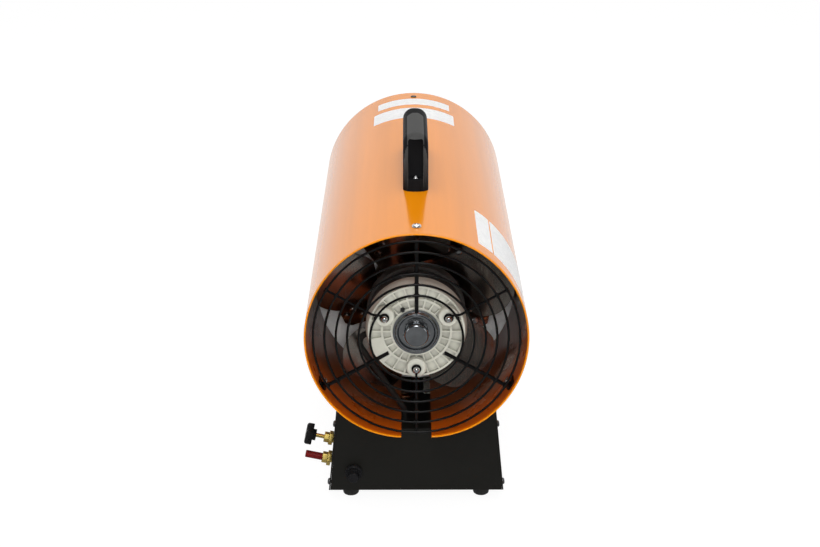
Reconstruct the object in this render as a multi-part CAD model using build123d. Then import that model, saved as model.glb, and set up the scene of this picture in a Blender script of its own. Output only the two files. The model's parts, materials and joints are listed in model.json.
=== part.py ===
from build123d import *
import os
from math import asin, atan, cos, degrees, radians, sin, sqrt, tan

# Gas-fired forced air heater: a painted sheet-metal tube on a sheet-steel base.
# A motor hung on the wire inlet guard drives an axial fan. The fan blows air past
# and through a burner tube, and the hot air leaves at the far end of the tube.
#
# Lengths are in millimetres and angles in degrees. +X is to the right as seen from
# the air inlet, +Y runs along the tube from the inlet to the outlet, and +Z is up.
# Pieces are drawn with Y = 0 at the inlet rim and Z = 0 on the tube axis. Clock
# angles turn from +Z towards +X, as seen from the inlet. At the end every piece is
# moved so that the feet stand on Z = 0 and the tube's middle is at Y = 0.

# Outer shell
SHELL_RADIUS = 94.0
SHELL_LENGTH = 462.0
SHELL_WALL = 0.8
SHELL_BOTTOM = 90.3
SHELL_FOOT_CLOCK = 138.0
HEM_THICKNESS = 1.6
HEM_DEPTH = 5.0
SLOT_WIDTH = 26.0
SHEET_CLEARANCE = 0.1

# Fasteners
SCREW_RADIUS = 1.95
SCREW_HEAD_RADIUS = 4.0
SCREW_HEAD_HEIGHT = 2.6
SCREW_CLEARANCE = 0.15
PANEL_SCREW_RADIUS = 1.45
PANEL_SCREW_HEAD_RADIUS = 2.9
PANEL_SCREW_HEAD_HEIGHT = 1.8
SHALLOW_HEAD_RADIUS = 3.1
SHALLOW_HEAD_HEIGHT = 1.4
NUT_ACROSS_FLATS = 7.0
NUT_HEIGHT = 3.2

# Inlet guard
GUARD_INNER_RING = 38.8
GUARD_OUTER_RING = 86.5
GUARD_RING_COUNT = 6
GUARD_WIRE_RADIUS = 1.0
GUARD_RING_Y = 3.2
GUARD_WELD = 0.3
GUARD_ARM_RADIUS = 1.7
GUARD_STRUT_RADIUS = 1.05
GUARD_ARM_START = 27.0
GUARD_TOP_ARM_START = 22.5
GUARD_ARM_END_Y = 12.4
GUARD_ARM_CLOCKS = (0.0, 120.0, 240.0)
GUARD_STRUT_CLOCKS = (60.0, 180.0, 300.0)
GUARD_TAB_WIDTH = 10.0
GUARD_TAB_START_Y = 8.5
GUARD_TAB_LENGTH = 16.0
GUARD_TAB_THICKNESS = 1.5
GUARD_SCREW_Y = 17.0

# Motor
MOTOR_RADIUS = 43.0
MOTOR_FACE_Y = 19.0
MOTOR_FACE_RADIUS = 41.0
MOTOR_SHOULDER_Y = 28.0
SHIELD_FACE_THICKNESS = 5.0
SHIELD_WALL = 2.9
SHIELD_LAP = 2.0
STATOR_START_Y = 34.0
STATOR_LENGTH = 28.0
STATOR_BORE_RADIUS = 22.0
FRONT_SHIELD_END_Y = 80.0
BOLT_CIRCLE_RADIUS = 31.0
MOTOR_BOLT_RADIUS = 2.0
LUG_RADIUS = 8.4
LUG_FACE_Y = 12.0
POCKET_DEPTH = 2.8
POCKET_BANDS = ((21.8, 28.2), (30.2, 39.4))
POCKET_RIB_COUNT = 24
POCKET_RIB_WIDTH = 1.3
PAD_CLOCK = 243.0
PAD_SPAN = 34.0
PAD_INNER_RADIUS = 29.2
WINDING_INNER_RADIUS = 23.6
WINDING_OUTER_RADIUS = 28.4
WINDING_LENGTH = 7.6
BEARING_RADIUS = 11.0
BEARING_WIDTH = 7.0
BEARING_BOSS_WALL = 4.0
BEARING_SEAT_DEPTH = 2.0
SHAFT_RADIUS = 4.0
SHAFT_START_Y = 20.4
SHAFT_END_Y = 114.0
RUNNING_CLEARANCE = 0.05
ROTOR_GAP = 0.5
ROTOR_END_GAP = 2.0
CAP_RADIUS = 20.0
CAP_WALL = 1.4
CAP_BEAD_RADIUS = 16.6
CAP_BEAD_HEIGHT = 1.7
CAP_BOSS_RADIUS = 10.25
CAP_BOSS_Y = 8.2
DOME_NUT_HEIGHT = 7.6

# Fan
FAN_BLADE_COUNT = 5
FAN_FIRST_ARM_CLOCK = 35.0
FAN_TIP_RADIUS = 87.0
FAN_ROOT_RADIUS = 36.0
FAN_ARM_Y = 101.5
BLADE_THICKNESS = 1.0
BLADE_PITCH = 27.0
BLADE_CAMBER_RADIUS = 300.0
BLADE_LEADING_CLOCKS = (40.0, 56.0, 66.0, 62.0, 53.0, 49.0, 43.0)
BLADE_TRAILING_CLOCKS = (16.0, 10.0, 8.0, -8.0, -12.0)
ARM_THICKNESS = 1.8
ARM_WIDTH = 22.0
ARM_LENGTH = 69.0
ARM_CORNER = 5.0
ARM_SHOULDER = 20.0
HUB_RADIUS = 10.0
HUB_START_Y = 86.0
HUB_END_Y = 109.0
RIVET_RADIUS = 1.9
RIVET_HEAD_RADIUS = 3.4
RIVET_HEAD_HEIGHT = 1.3
RIVET_TAIL_HEIGHT = 1.0
RIVET_SEAT_GAP = 0.03
RIVET_PLACES = ((-2.5, 51.5), (6.5, 57.5), (1.5, 64.5))
FAN_NUT_ACROSS = 13.0
SHAFT_PROUD = 1.5

# Burner
BAFFLE_Y = 121.0
BAFFLE_THICKNESS = 1.2
BAFFLE_RADIUS = 89.0
BAFFLE_BORE_RADIUS = 40.0
BAFFLE_LIP = 5.0
BAFFLE_LEG_WIDTH = 14.0
BAFFLE_LEG_CLOCKS = (45.0, 135.0, 225.0, 315.0)
BAFFLE_VENT = (14.0, 3.0)
BAFFLE_VENT_RADIUS = 62.0
BAFFLE_VENT_CLOCKS = (103.0, 257.0)
CHAMBER_RADIUS = 75.0
CHAMBER_WALL = 0.8
CHAMBER_START_Y = 156.0
CHAMBER_END_INSET = 14.0
BURNER_PLATE_THICKNESS = 1.5
BURNER_HOLE_ROWS = ((56.0, 5.0, 16), (67.0, 3.0, 24))
CONE_REAR_RADIUS = 24.0
CONE_FRONT_RADIUS = 44.0
CONE_LENGTH = 58.0
CONE_WALL = 1.2
CONE_HOLE_RADIUS = 3.0
CONE_HOLE_ROWS = (16.0, 30.0, 44.0)
CONE_HOLES_PER_ROW = 10
PROBE_RADIUS = 3.0
PROBE_TIP_RADIUS = 1.2
PROBE_FLANGE = 2.0
PROBE_CIRCLE = 47.5
ELECTRODE_CLOCK = 191.25
ELECTRODE_REACH = (14.0, 26.0, 50.0)
THERMOCOUPLE_CLOCK = 168.75
THERMOCOUPLE_REACH = (10.0, 34.0, 44.0)
NOZZLE_RADIUS = 6.0
NOZZLE_LENGTH = 26.0
NOZZLE_TIP_LENGTH = 7.8
NOZZLE_JET_RADIUS = 0.9
NOZZLE_JET_DEPTH = 4.0
NOZZLE_NUT_ACROSS = 18.0
NOZZLE_NUT_HEIGHT = 5.0
GAS_PIPE_RADIUS = 4.0
GAS_PIPE_BEND = 10.0
FRONT_BRACKET_INSET = 18.0
FRONT_BRACKET_CLOCKS = (0.0, 120.0, 240.0)
REAR_BRACKET_Y = 190.0
REAR_BRACKET_CLOCKS = (108.0, 252.0)
BRACKET_WIDTH = 12.0
BRACKET_THICKNESS = 1.2
BRACKET_FOOT = 12.0
THERMOSTAT_CLOCK = 75.0
THERMOSTAT_REACH = 90.0
THERMOSTAT_RADIUS = 8.0
THERMOSTAT_HEIGHT = 6.5
THERMOSTAT_FLANGE = (11.0, 26.0, 1.2)
THERMOSTAT_PIN = (1.2, 5.0, 6.0)

# Carrying handle
HANDLE_START_Y = 111.0
HANDLE_LENGTH = 139.0
HANDLE_HEIGHT = 46.0
HANDLE_WIDTH = 22.4
HANDLE_LEG_LEAN = 11.0
HANDLE_CORNER_RADIUS = 24.0
HANDLE_EDGE_RADIUS = 10.0
HANDLE_GRIP_DEPTH = 16.5
HANDLE_LEG_DEPTH = 20.0
HANDLE_GAP_LEAN = 8.0
HANDLE_GAP_CORNER = 12.0
HANDLE_RECESS_WIDTH = 13.2
HANDLE_RECESS_FLOOR = 10.0
HANDLE_RECESS_TOP = 42.5
HANDLE_RECESS_DEPTH = 15.0
HANDLE_RECESS_CORNER = 2.0
HANDLE_SCREW_INSET = 8.8
HANDLE_GROOVE_WIDTH = 15.0
HANDLE_GROOVE_DEPTH = 8.0
HANDLE_GROOVE_CORNER = 4.0

# Base
BASE_START_Y = 18.0
BASE_LENGTH = 300.0
BASE_BELOW_AXIS = 150.0
BASE_WIDTH = 153.0
BASE_FLARE = 5.8
BASE_SHEET = 1.2
BASE_SIDE_TOP = -66.5
BASE_FLANGE = 12.0
SADDLE_SPAN = 38.0
SADDLE_SCREW_TURN = 27.0
PANEL_SCREW_INSET = 7.0
PANEL_SCREW_HEIGHTS = (5.0, 61.0)

# Feet
FOOT_HEIGHT = 10.0
FOOT_RADIUS = 6.9
FOOT_TOP_RADIUS = 8.0
FOOT_INSET_X = 19.0
FOOT_INSET_Y = 14.0
FOOT_RECESS_RADIUS = 4.6
FOOT_RECESS_DEPTH = 5.5

# Gas fittings on the left side panel
FITTING_Y = 45.0
FITTING_TILT = 12.5
VALVE_HEIGHT = 36.8
INLET_HEIGHT = 17.0
PANEL_NUT_ACROSS = 11.0
PANEL_NUT_START = 0.75
PANEL_NUT_LENGTH = 3.5
VALVE_THREAD_RADIUS = 4.0
VALVE_GLAND_ACROSS = 8.2
VALVE_GLAND_LENGTH = 4.2
SPINDLE_RADIUS = 1.8
SPINDLE_FREE_LENGTH = 7.4
KNOB_RADIUS = 10.2
KNOB_THICKNESS = 6.2
KNOB_LOBE_COUNT = 6
KNOB_LOBE_DEPTH = 2.2
KNOB_LOBE_RADIUS = 3.0
KNOB_FACE = 1.5
KNOB_ROUNDING = 2.0
KNOB_HUB_RADIUS = 5.0
KNOB_HUB_LENGTH = 3.0
FITTING_BLOCK = (16.0, 38.0, 10.0)
FITTING_BLOCK_GAP = 3.2
SPINDLE_BORE_DEPTH = 8.0
INLET_THREAD_DEPTH = 8.0
INLET_THREAD_RADIUS = 3.6
INLET_FLANGE_ACROSS = 11.8
INLET_FLANGE_LENGTH = 3.3
INLET_HEX_ACROSS = 8.8
INLET_HEX_LENGTH = 4.5
INLET_NIPPLE_RADIUS = 2.5
INLET_NIPPLE_LENGTH = 11.0
INLET_BORE_RADIUS = 1.5
CAP_SLEEVE_RADIUS = 3.2
CAP_SLEEVE_LENGTH = 15.0
CAP_SLEEVE_CLEARANCE = 0.1
CAP_SLEEVE_RIBS = 8

# Piezo igniter on the rear of the base
PIEZO_INSET_X = 22.0
PIEZO_HEIGHT = 17.7
PIEZO_BODY_RADIUS = 5.7
PIEZO_BODY_LENGTH = 40.0
PIEZO_SHOULDER_RADIUS = 8.4
PIEZO_SHOULDER_LENGTH = 3.0
PIEZO_COLLAR_RADIUS = 7.4
PIEZO_COLLAR_LENGTH = 4.0
PIEZO_TUBE_RADIUS = 6.0
PIEZO_TUBE_LENGTH = 7.5
PIEZO_BUTTON_RADIUS = 4.6
PIEZO_BUTTON_REACH = 12.5
PIEZO_BUTTON_LENGTH = 16.0
PIEZO_TRAVEL = 4.0
PIEZO_BUTTON_CLEARANCE = 0.3

# Electrical fittings on the right side panel
SWITCH_Y = 196.0
SWITCH_HEIGHT = 38.0
SWITCH_OUTER = (21.0, 28.0)
SWITCH_BEZEL_HEIGHT = 2.0
SWITCH_LIP = 1.2
SWITCH_WALL = 1.6
SWITCH_DEPTH = 16.0
SWITCH_TERMINAL = (6.3, 0.8, 8.0)
SWITCH_TERMINAL_PITCH = 7.0
ROCKER_GAP = 0.35
ROCKER_PIVOT_DEPTH = 3.0
ROCKER_THROW = 16.0
ROCKER_END_HEIGHT = 2.6
ROCKER_MIDDLE_HEIGHT = 0.6
ROCKER_END_GAP = 1.4
ROCKER_ROOM = 7.0
GLAND_Y = 236.0
GLAND_HEIGHT = 34.0
GLAND_THREAD_RADIUS = 6.0
GLAND_HEX_ACROSS = 17.0
GLAND_HEX_LENGTH = 5.0
GLAND_CAP_LENGTH = 7.0
GLAND_CAP_TAPER = (2.0, 5.0)
GLAND_DOME_LENGTH = 20.0
GLAND_TIP_RADIUS = 5.6
GLAND_BORE_RADIUS = 3.6
GLAND_NUT_LENGTH = 4.0
TERMINAL_BLOCK = (22.0, 46.0, 17.0)
TERMINAL_BLOCK_X = 20.0
TERMINAL_COUNT = 4
TERMINAL_SCREW_RADIUS = 2.6
TERMINAL_SCREW_DEPTH = 6.0
TERMINAL_BORE = (4.0, 5.0)

# Motor lead
LEAD_RADIUS = 2.6
LEAD_START_CLOCK = 250.0
LEAD_START_Y = 52.0
LEAD_REACH = 57.0
LEAD_BEND = 9.0
LEAD_FLOOR_GAP = 10.0
LEAD_SLOT_GAP = 0.4
LEAD_SLOT_RUN = (6.0, 20.0)
LEAD_BASE_RUN = 40.0

# Derived sizes
SHELL_INNER = SHELL_RADIUS - SHELL_WALL
FOOT_ARC_RISE = cos(radians(180 - SHELL_FOOT_CLOCK))
SHELL_FOOT_RADIUS = (SHELL_BOTTOM - SHELL_RADIUS * FOOT_ARC_RISE) / (1 - FOOT_ARC_RISE)
FRONT_BRACKET_Y = SHELL_LENGTH - FRONT_BRACKET_INSET
CHAMBER_END_Y = SHELL_LENGTH - CHAMBER_END_INSET
FOOT_SPACING_X = BASE_WIDTH - 2 * FOOT_INSET_X
PIEZO_X = PIEZO_INSET_X - BASE_WIDTH / 2
AXIS_HEIGHT = FOOT_HEIGHT + BASE_BELOW_AXIS
BASE_BOTTOM = -BASE_BELOW_AXIS
BASE_END_Y = BASE_START_Y + BASE_LENGTH
STATOR_END_Y = STATOR_START_Y + STATOR_LENGTH
STATOR_RADIUS = MOTOR_RADIUS - SHIELD_WALL
GUARD_SPOKE_Y = GUARD_RING_Y + GUARD_WIRE_RADIUS + GUARD_ARM_RADIUS - GUARD_WELD
CHAMBER_INNER = CHAMBER_RADIUS - CHAMBER_WALL


def rod(start, end, radius, x=0.0, z=0.0):
    """A cylinder along the tube axis from one Y to another."""
    return Pos(x, (start + end) / 2, z) * Rot(-90, 0, 0) * Cylinder(radius, end - start)


def pipe(start, end, outer, inner):
    """A round tube along the tube axis."""
    return rod(start, end, outer) - rod(start - 1, end + 1, inner)


def turned(*points):
    """A solid turned about the tube axis from (radius, Y) points."""
    return revolve(make_face(Polyline(*points, close=True)), Axis.Y)


def slab(face, start, end):
    """A face drawn as (X, Z), given thickness from one Y to another."""
    return Pos(0, end, 0) * Rot(90, 0, 0) * extrude(face, end - start)


def around(clock, y=0.0, radius=0.0):
    """A place at a clock angle round the axis, with its own +Z pointing outwards."""
    return Rot(0, clock, 0) * Pos(0, y, radius)


def polar_point(radius, clock):
    """The (X, Z) point at a radius and clock angle."""
    return (radius * sin(radians(clock)), radius * cos(radians(clock)))


def hexagon(across_flats, start, length):
    """A hexagonal bar along +Z."""
    corner_radius = across_flats / 2 / cos(radians(30))
    return Pos(0, 0, start) * extrude(RegularPolygon(corner_radius, 6), length)


def round_bar(radius, start, length):
    """A round bar along +Z."""
    return Pos(0, 0, start + length / 2) * Cylinder(radius, length)


def bent_wire(points, radius, bend):
    """Round wire along straight runs joined by tangent bends."""
    if len(points) > 2:
        path = FilletPolyline(*points, radius=bend)
    else:
        path = Line(*points)
    section = Plane(origin=path @ 0, z_dir=path % 0) * Circle(radius)
    return sweep(section, path=path)


def pan_screw(length, radius=SCREW_RADIUS, head_radius=SCREW_HEAD_RADIUS, head_height=SCREW_HEAD_HEIGHT):
    """A pan-head screw with its head on +Z and its seat at Z = 0."""
    head = round_bar(head_radius, 0, head_height)
    head = fillet(head.edges().group_by(Axis.Z)[-1], head_height * 0.6)
    return head + round_bar(radius, -length, length + 0.1)


def screw_hole(depth, radius=SCREW_RADIUS):
    """The clearance hole of a screw, cut below and just above Z = 0."""
    return round_bar(radius + SCREW_CLEARANCE, -depth, depth + 1)


# ---------------------------------------------------------------- outer shell

def handle_screw_ys():
    """The two handle screws' places along the tube."""
    first = HANDLE_START_Y + HANDLE_SCREW_INSET
    last = HANDLE_START_Y + HANDLE_LENGTH - HANDLE_SCREW_INSET
    return (first, last)


def shell_screw_places():
    """Screw holes round the shell as (clock angle, Y)."""
    places = [(clock, GUARD_SCREW_Y) for clock in GUARD_ARM_CLOCKS]
    places += [(0.0, y) for y in handle_screw_ys()]
    places += [(clock, FRONT_BRACKET_Y) for clock in FRONT_BRACKET_CLOCKS]
    places += [(clock, REAR_BRACKET_Y) for clock in REAR_BRACKET_CLOCKS]
    return places


def foot_arc_centre(side):
    """Centre (X, Z) of the tighter arc that draws the shell in towards the slot."""
    x, z = polar_point(SHELL_RADIUS - SHELL_FOOT_RADIUS, SHELL_FOOT_CLOCK)
    return (side * x, z)


def saddle_screw_frames(radius):
    """Places on the shell's foot arcs, above the front saddle flange."""
    y = BASE_END_Y - BASE_SHEET - BASE_FLANGE / 2
    frames = []
    for side in (-1, 1):
        x, z = foot_arc_centre(side)
        frames.append(Pos(x, 0, z) * around(180 - side * SADDLE_SCREW_TURN, y, radius))
    return frames


def shell_section(offset):
    """Closed section of the tube, moved out from the shell's outer face."""
    radius = SHELL_RADIUS + offset
    foot_radius = SHELL_FOOT_RADIUS + offset
    corner_x, corner_z = polar_point(radius, SHELL_FOOT_CLOCK)
    centre_x, centre_z = foot_arc_centre(1)
    middle_x, middle_z = polar_point(foot_radius, (180 + SHELL_FOOT_CLOCK) / 2)
    middle = (centre_x + middle_x, centre_z + middle_z)
    low = (centre_x, centre_z - foot_radius)
    return make_face(
        [
            ThreePointArc((corner_x, corner_z), (0, radius), (-corner_x, corner_z)),
            ThreePointArc((-corner_x, corner_z), (-middle[0], middle[1]), (-low[0], low[1])),
            Line((-low[0], low[1]), low),
            ThreePointArc(low, middle, (corner_x, corner_z)),
        ]
    )


def shell_wall_profile():
    """Section of the sheet along the tube at 3 o'clock, with a closed hem at each end."""
    hem_inner = SHELL_RADIUS - HEM_THICKNESS
    hem_mid = SHELL_RADIUS - HEM_THICKNESS / 2
    round_start = HEM_THICKNESS / 2
    round_end = SHELL_LENGTH - HEM_THICKNESS / 2
    slope = HEM_THICKNESS - SHELL_WALL
    return make_face(
        [
            Line((SHELL_RADIUS, round_start), (SHELL_RADIUS, round_end)),
            ThreePointArc((SHELL_RADIUS, round_end), (hem_mid, SHELL_LENGTH), (hem_inner, round_end)),
            Polyline(
                (hem_inner, round_end),
                (hem_inner, SHELL_LENGTH - HEM_DEPTH),
                (SHELL_INNER, SHELL_LENGTH - HEM_DEPTH - slope),
                (SHELL_INNER, HEM_DEPTH + slope),
                (hem_inner, HEM_DEPTH),
                (hem_inner, round_start),
            ),
            ThreePointArc((hem_inner, round_start), (hem_mid, 0), (SHELL_RADIUS, round_start)),
        ]
    )


def outer_shell():
    """Rolled sheet, drawn in a little towards the open slot underneath."""
    wall = shell_wall_profile()
    barrel = revolve(wall, Axis.Y, 2 * SHELL_FOOT_CLOCK)
    barrel = Rot(0, -90 - SHELL_FOOT_CLOCK, 0) * barrel
    foot_axis = Axis((SHELL_RADIUS - SHELL_FOOT_RADIUS, 0, 0), (0, 1, 0))
    foot = Rot(0, SHELL_FOOT_CLOCK - 90, 0) * revolve(wall, foot_axis, 180 - SHELL_FOOT_CLOCK)
    shell = barrel + foot + mirror(foot, Plane.YZ)
    shell -= Pos(0, SHELL_LENGTH / 2, -SHELL_RADIUS) * Box(SLOT_WIDTH, SHELL_LENGTH + 2, 20)
    for clock, y in shell_screw_places():
        shell -= around(clock, y, SHELL_RADIUS) * screw_hole(3 * SHELL_WALL)
    for frame in saddle_screw_frames(SHELL_FOOT_RADIUS):
        shell -= frame * screw_hole(3 * SHELL_WALL)
    return shell


# ---------------------------------------------------------------- inlet guard

def guard_rings():
    """Concentric rings of round wire."""
    pitch = (GUARD_OUTER_RING - GUARD_INNER_RING) / (GUARD_RING_COUNT - 1)
    radii = [GUARD_INNER_RING + pitch * step for step in range(GUARD_RING_COUNT)]
    return [Pos(0, GUARD_RING_Y, 0) * Rot(90, 0, 0) * Torus(r, GUARD_WIRE_RADIUS) for r in radii]


def guard_arm(start_radius):
    """A thick spoke that turns in along the shell and carries a screw tab."""
    tab_outer = SHELL_INNER - 2 * SHEET_CLEARANCE
    tab_inner = tab_outer - GUARD_TAB_THICKNESS
    end_radius = tab_inner - GUARD_ARM_RADIUS + GUARD_WELD
    arm = bent_wire(
        [
            (0, GUARD_SPOKE_Y, start_radius),
            (0, GUARD_SPOKE_Y, GUARD_OUTER_RING),
            (0, GUARD_TAB_START_Y + 1, end_radius),
            (0, GUARD_ARM_END_Y, end_radius),
        ],
        GUARD_ARM_RADIUS,
        2.0,
    )
    tab_y = GUARD_TAB_START_Y + GUARD_TAB_LENGTH / 2
    tab_mid = (tab_inner + tab_outer) / 2
    tab = Pos(0, tab_y, tab_mid) * Box(GUARD_TAB_WIDTH, GUARD_TAB_LENGTH, GUARD_TAB_THICKNESS)
    tab = fillet(tab.edges().filter_by(Axis.Z), 3.0)
    return arm + tab - Pos(0, GUARD_SCREW_Y, tab_outer) * screw_hole(4)


def guard_strut():
    """A thin spoke that ends in an eye round one of the motor's bolts."""
    eye_radius = MOTOR_BOLT_RADIUS + SCREW_CLEARANCE + GUARD_STRUT_RADIUS
    eye_y = LUG_FACE_Y - GUARD_STRUT_RADIUS
    rim_y = GUARD_RING_Y + GUARD_WIRE_RADIUS + GUARD_STRUT_RADIUS - GUARD_WELD
    wire = bent_wire(
        [
            (0, rim_y, GUARD_OUTER_RING),
            (0, rim_y, GUARD_INNER_RING + 3),
            (0, eye_y, BOLT_CIRCLE_RADIUS + eye_radius + 2.5),
            (0, eye_y, BOLT_CIRCLE_RADIUS + eye_radius),
        ],
        GUARD_STRUT_RADIUS,
        1.5,
    )
    eye = Pos(0, eye_y, BOLT_CIRCLE_RADIUS) * Rot(90, 0, 0) * Torus(eye_radius, GUARD_STRUT_RADIUS)
    return wire + eye


def rear_guard():
    """Welded wire guard: rings, three screwed spokes and three motor struts."""
    spokes = []
    for clock in GUARD_ARM_CLOCKS:
        start = GUARD_TOP_ARM_START if clock == 0 else GUARD_ARM_START
        spokes.append(Rot(0, clock, 0) * guard_arm(start))
    for clock in GUARD_STRUT_CLOCKS:
        spokes.append(Rot(0, clock, 0) * guard_strut())
    rings = guard_rings()
    return rings[0].fuse(*rings[1:], *spokes)


def guard_screws():
    """Screws through the shell into the guard's tabs."""
    screw = pan_screw(SHELL_WALL + GUARD_TAB_THICKNESS + NUT_HEIGHT + 1)
    return [around(clock, GUARD_SCREW_Y, SHELL_RADIUS) * screw for clock in GUARD_ARM_CLOCKS]


def guard_nuts():
    """Nuts on the inner face of the guard's tabs."""
    seat = SHELL_INNER - 2 * SHEET_CLEARANCE - GUARD_TAB_THICKNESS
    nut = hexagon(NUT_ACROSS_FLATS, -NUT_HEIGHT, NUT_HEIGHT)
    nut -= round_bar(SCREW_RADIUS + RUNNING_CLEARANCE, -NUT_HEIGHT - 1, NUT_HEIGHT + 2)
    return [around(clock, GUARD_SCREW_Y, seat) * nut for clock in GUARD_ARM_CLOCKS]


# ---------------------------------------------------------------------- motor

def pocket_band(inner, outer):
    """A ring of pockets parted by radial ribs."""
    band = pipe(MOTOR_FACE_Y - 1, MOTOR_FACE_Y + POCKET_DEPTH, outer, inner)
    rib = Pos(0, MOTOR_FACE_Y, (inner + outer) / 2) * Box(POCKET_RIB_WIDTH, 20, outer - inner + 4)
    ribs = [Rot(0, 360 / POCKET_RIB_COUNT * k, 0) * rib for k in range(POCKET_RIB_COUNT)]
    return band - ribs


def pad_wedge():
    """The stretch of the outer band that stays a plain flat pad."""
    reach = 2 * MOTOR_RADIUS
    wedge = make_face(
        Polyline(
            (0, 0),
            polar_point(reach, PAD_CLOCK - PAD_SPAN / 2),
            polar_point(reach, PAD_CLOCK + PAD_SPAN / 2),
            close=True,
        )
    )
    return slab(wedge, MOTOR_FACE_Y - 5, MOTOR_FACE_Y + 10) - rod(0, 60, PAD_INNER_RADIUS)


def bolt_holes(start, end):
    """Clearance holes for the motor's three through bolts."""
    hole_radius = MOTOR_BOLT_RADIUS + SCREW_CLEARANCE
    hole = rod(start, end, hole_radius, 0, BOLT_CIRCLE_RADIUS)
    return [Rot(0, clock, 0) * hole for clock in GUARD_STRUT_CLOCKS]


def motor_rear_shield():
    """Cast shield with two rings of ribbed pockets and three bolt lugs."""
    bore = BEARING_RADIUS + RUNNING_CLEARANCE
    boss = BEARING_RADIUS + BEARING_BOSS_WALL
    inside_y = MOTOR_FACE_Y + SHIELD_FACE_THICKNESS
    boss_end = MOTOR_FACE_Y + BEARING_SEAT_DEPTH + BEARING_WIDTH
    rim_inner = STATOR_RADIUS + RUNNING_CLEARANCE
    cavity = STATOR_RADIUS - 1.5
    shield = turned(
        (bore, MOTOR_FACE_Y),
        (MOTOR_FACE_RADIUS, MOTOR_FACE_Y),
        (MOTOR_RADIUS, MOTOR_SHOULDER_Y),
        (MOTOR_RADIUS, STATOR_START_Y + SHIELD_LAP),
        (rim_inner, STATOR_START_Y + SHIELD_LAP),
        (rim_inner, STATOR_START_Y),
        (cavity, STATOR_START_Y),
        (cavity, inside_y),
        (boss, inside_y),
        (boss, boss_end),
        (bore, boss_end),
    )
    for inner, outer in POCKET_BANDS:
        shield -= pocket_band(inner, outer) - pad_wedge()
    lug = rod(LUG_FACE_Y, inside_y, LUG_RADIUS, 0, BOLT_CIRCLE_RADIUS)
    lug = chamfer(lug.edges().group_by(Axis.Y)[0], 1.2)
    for clock in GUARD_STRUT_CLOCKS:
        shield += Rot(0, clock, 0) * lug
    return shield - bolt_holes(LUG_FACE_Y - 1, STATOR_START_Y + 3)


def motor_front_shield():
    """Plain cup that closes the motor on the fan's side."""
    bore = BEARING_RADIUS + RUNNING_CLEARANCE
    boss = BEARING_RADIUS + BEARING_BOSS_WALL
    inside_y = FRONT_SHIELD_END_Y - SHIELD_FACE_THICKNESS
    boss_start = FRONT_SHIELD_END_Y - BEARING_SEAT_DEPTH - BEARING_WIDTH
    rim_inner = STATOR_RADIUS + RUNNING_CLEARANCE
    cavity = STATOR_RADIUS - 1.5
    shield = turned(
        (bore, FRONT_SHIELD_END_Y),
        (MOTOR_FACE_RADIUS - 4, FRONT_SHIELD_END_Y),
        (MOTOR_RADIUS, inside_y - 2),
        (MOTOR_RADIUS, STATOR_END_Y - SHIELD_LAP),
        (rim_inner, STATOR_END_Y - SHIELD_LAP),
        (rim_inner, STATOR_END_Y),
        (cavity, STATOR_END_Y),
        (cavity, inside_y),
        (boss, inside_y),
        (boss, boss_start),
        (bore, boss_start),
    )
    return shield - bolt_holes(STATOR_END_Y - 3, FRONT_SHIELD_END_Y + 1)


def stator_stack():
    """Laminated ring clamped between the shields."""
    stack = pipe(STATOR_START_Y, STATOR_END_Y, STATOR_RADIUS, STATOR_BORE_RADIUS)
    return stack - bolt_holes(STATOR_START_Y - 1, STATOR_END_Y + 1)


def stator_windings():
    """End turns of the winding on both faces of the stack."""
    rear = pipe(
        STATOR_START_Y - WINDING_LENGTH, STATOR_START_Y, WINDING_OUTER_RADIUS, WINDING_INNER_RADIUS
    )
    front = pipe(
        STATOR_END_Y, STATOR_END_Y + WINDING_LENGTH, WINDING_OUTER_RADIUS, WINDING_INNER_RADIUS
    )
    rear = fillet(rear.edges().group_by(Axis.Y)[0], 2.0)
    front = fillet(front.edges().group_by(Axis.Y)[-1], 2.0)
    return [rear, front]


def bearing_cap():
    """Pressed steel cap over the rear bearing, with a beaded dish and a round boss."""
    inner_boss = CAP_BOSS_RADIUS - CAP_WALL
    rim_y = MOTOR_FACE_Y - CAP_WALL
    bead_y = rim_y - CAP_BEAD_HEIGHT
    bead_half = 1.6
    dish_radius = CAP_BOSS_RADIUS + 2.2
    cap = turned(
        (0, CAP_BOSS_Y),
        (CAP_BOSS_RADIUS - 1.2, CAP_BOSS_Y),
        (CAP_BOSS_RADIUS, CAP_BOSS_Y + 1.2),
        (CAP_BOSS_RADIUS, rim_y - 1.0),
        (dish_radius, rim_y),
        (CAP_BEAD_RADIUS - bead_half, rim_y),
        (CAP_BEAD_RADIUS - 0.6, bead_y),
        (CAP_BEAD_RADIUS + 0.6, bead_y),
        (CAP_BEAD_RADIUS + bead_half, rim_y),
        (CAP_RADIUS, rim_y),
        (CAP_RADIUS, MOTOR_FACE_Y),
        (inner_boss, MOTOR_FACE_Y),
        (inner_boss, CAP_BOSS_Y + CAP_WALL),
        (0, CAP_BOSS_Y + CAP_WALL),
    )
    return cap


def motor_bolts():
    """Through bolts with hexagonal heads on the fan's side."""
    tip_y = LUG_FACE_Y - 2 * GUARD_STRUT_RADIUS - DOME_NUT_HEIGHT + 2.5
    shank = round_bar(MOTOR_BOLT_RADIUS, tip_y, FRONT_SHIELD_END_Y - tip_y + 0.1)
    bolt = shank + hexagon(NUT_ACROSS_FLATS, FRONT_SHIELD_END_Y, NUT_HEIGHT)
    return [around(clock, 0, BOLT_CIRCLE_RADIUS) * Rot(-90, 0, 0) * bolt for clock in GUARD_STRUT_CLOCKS]


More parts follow.
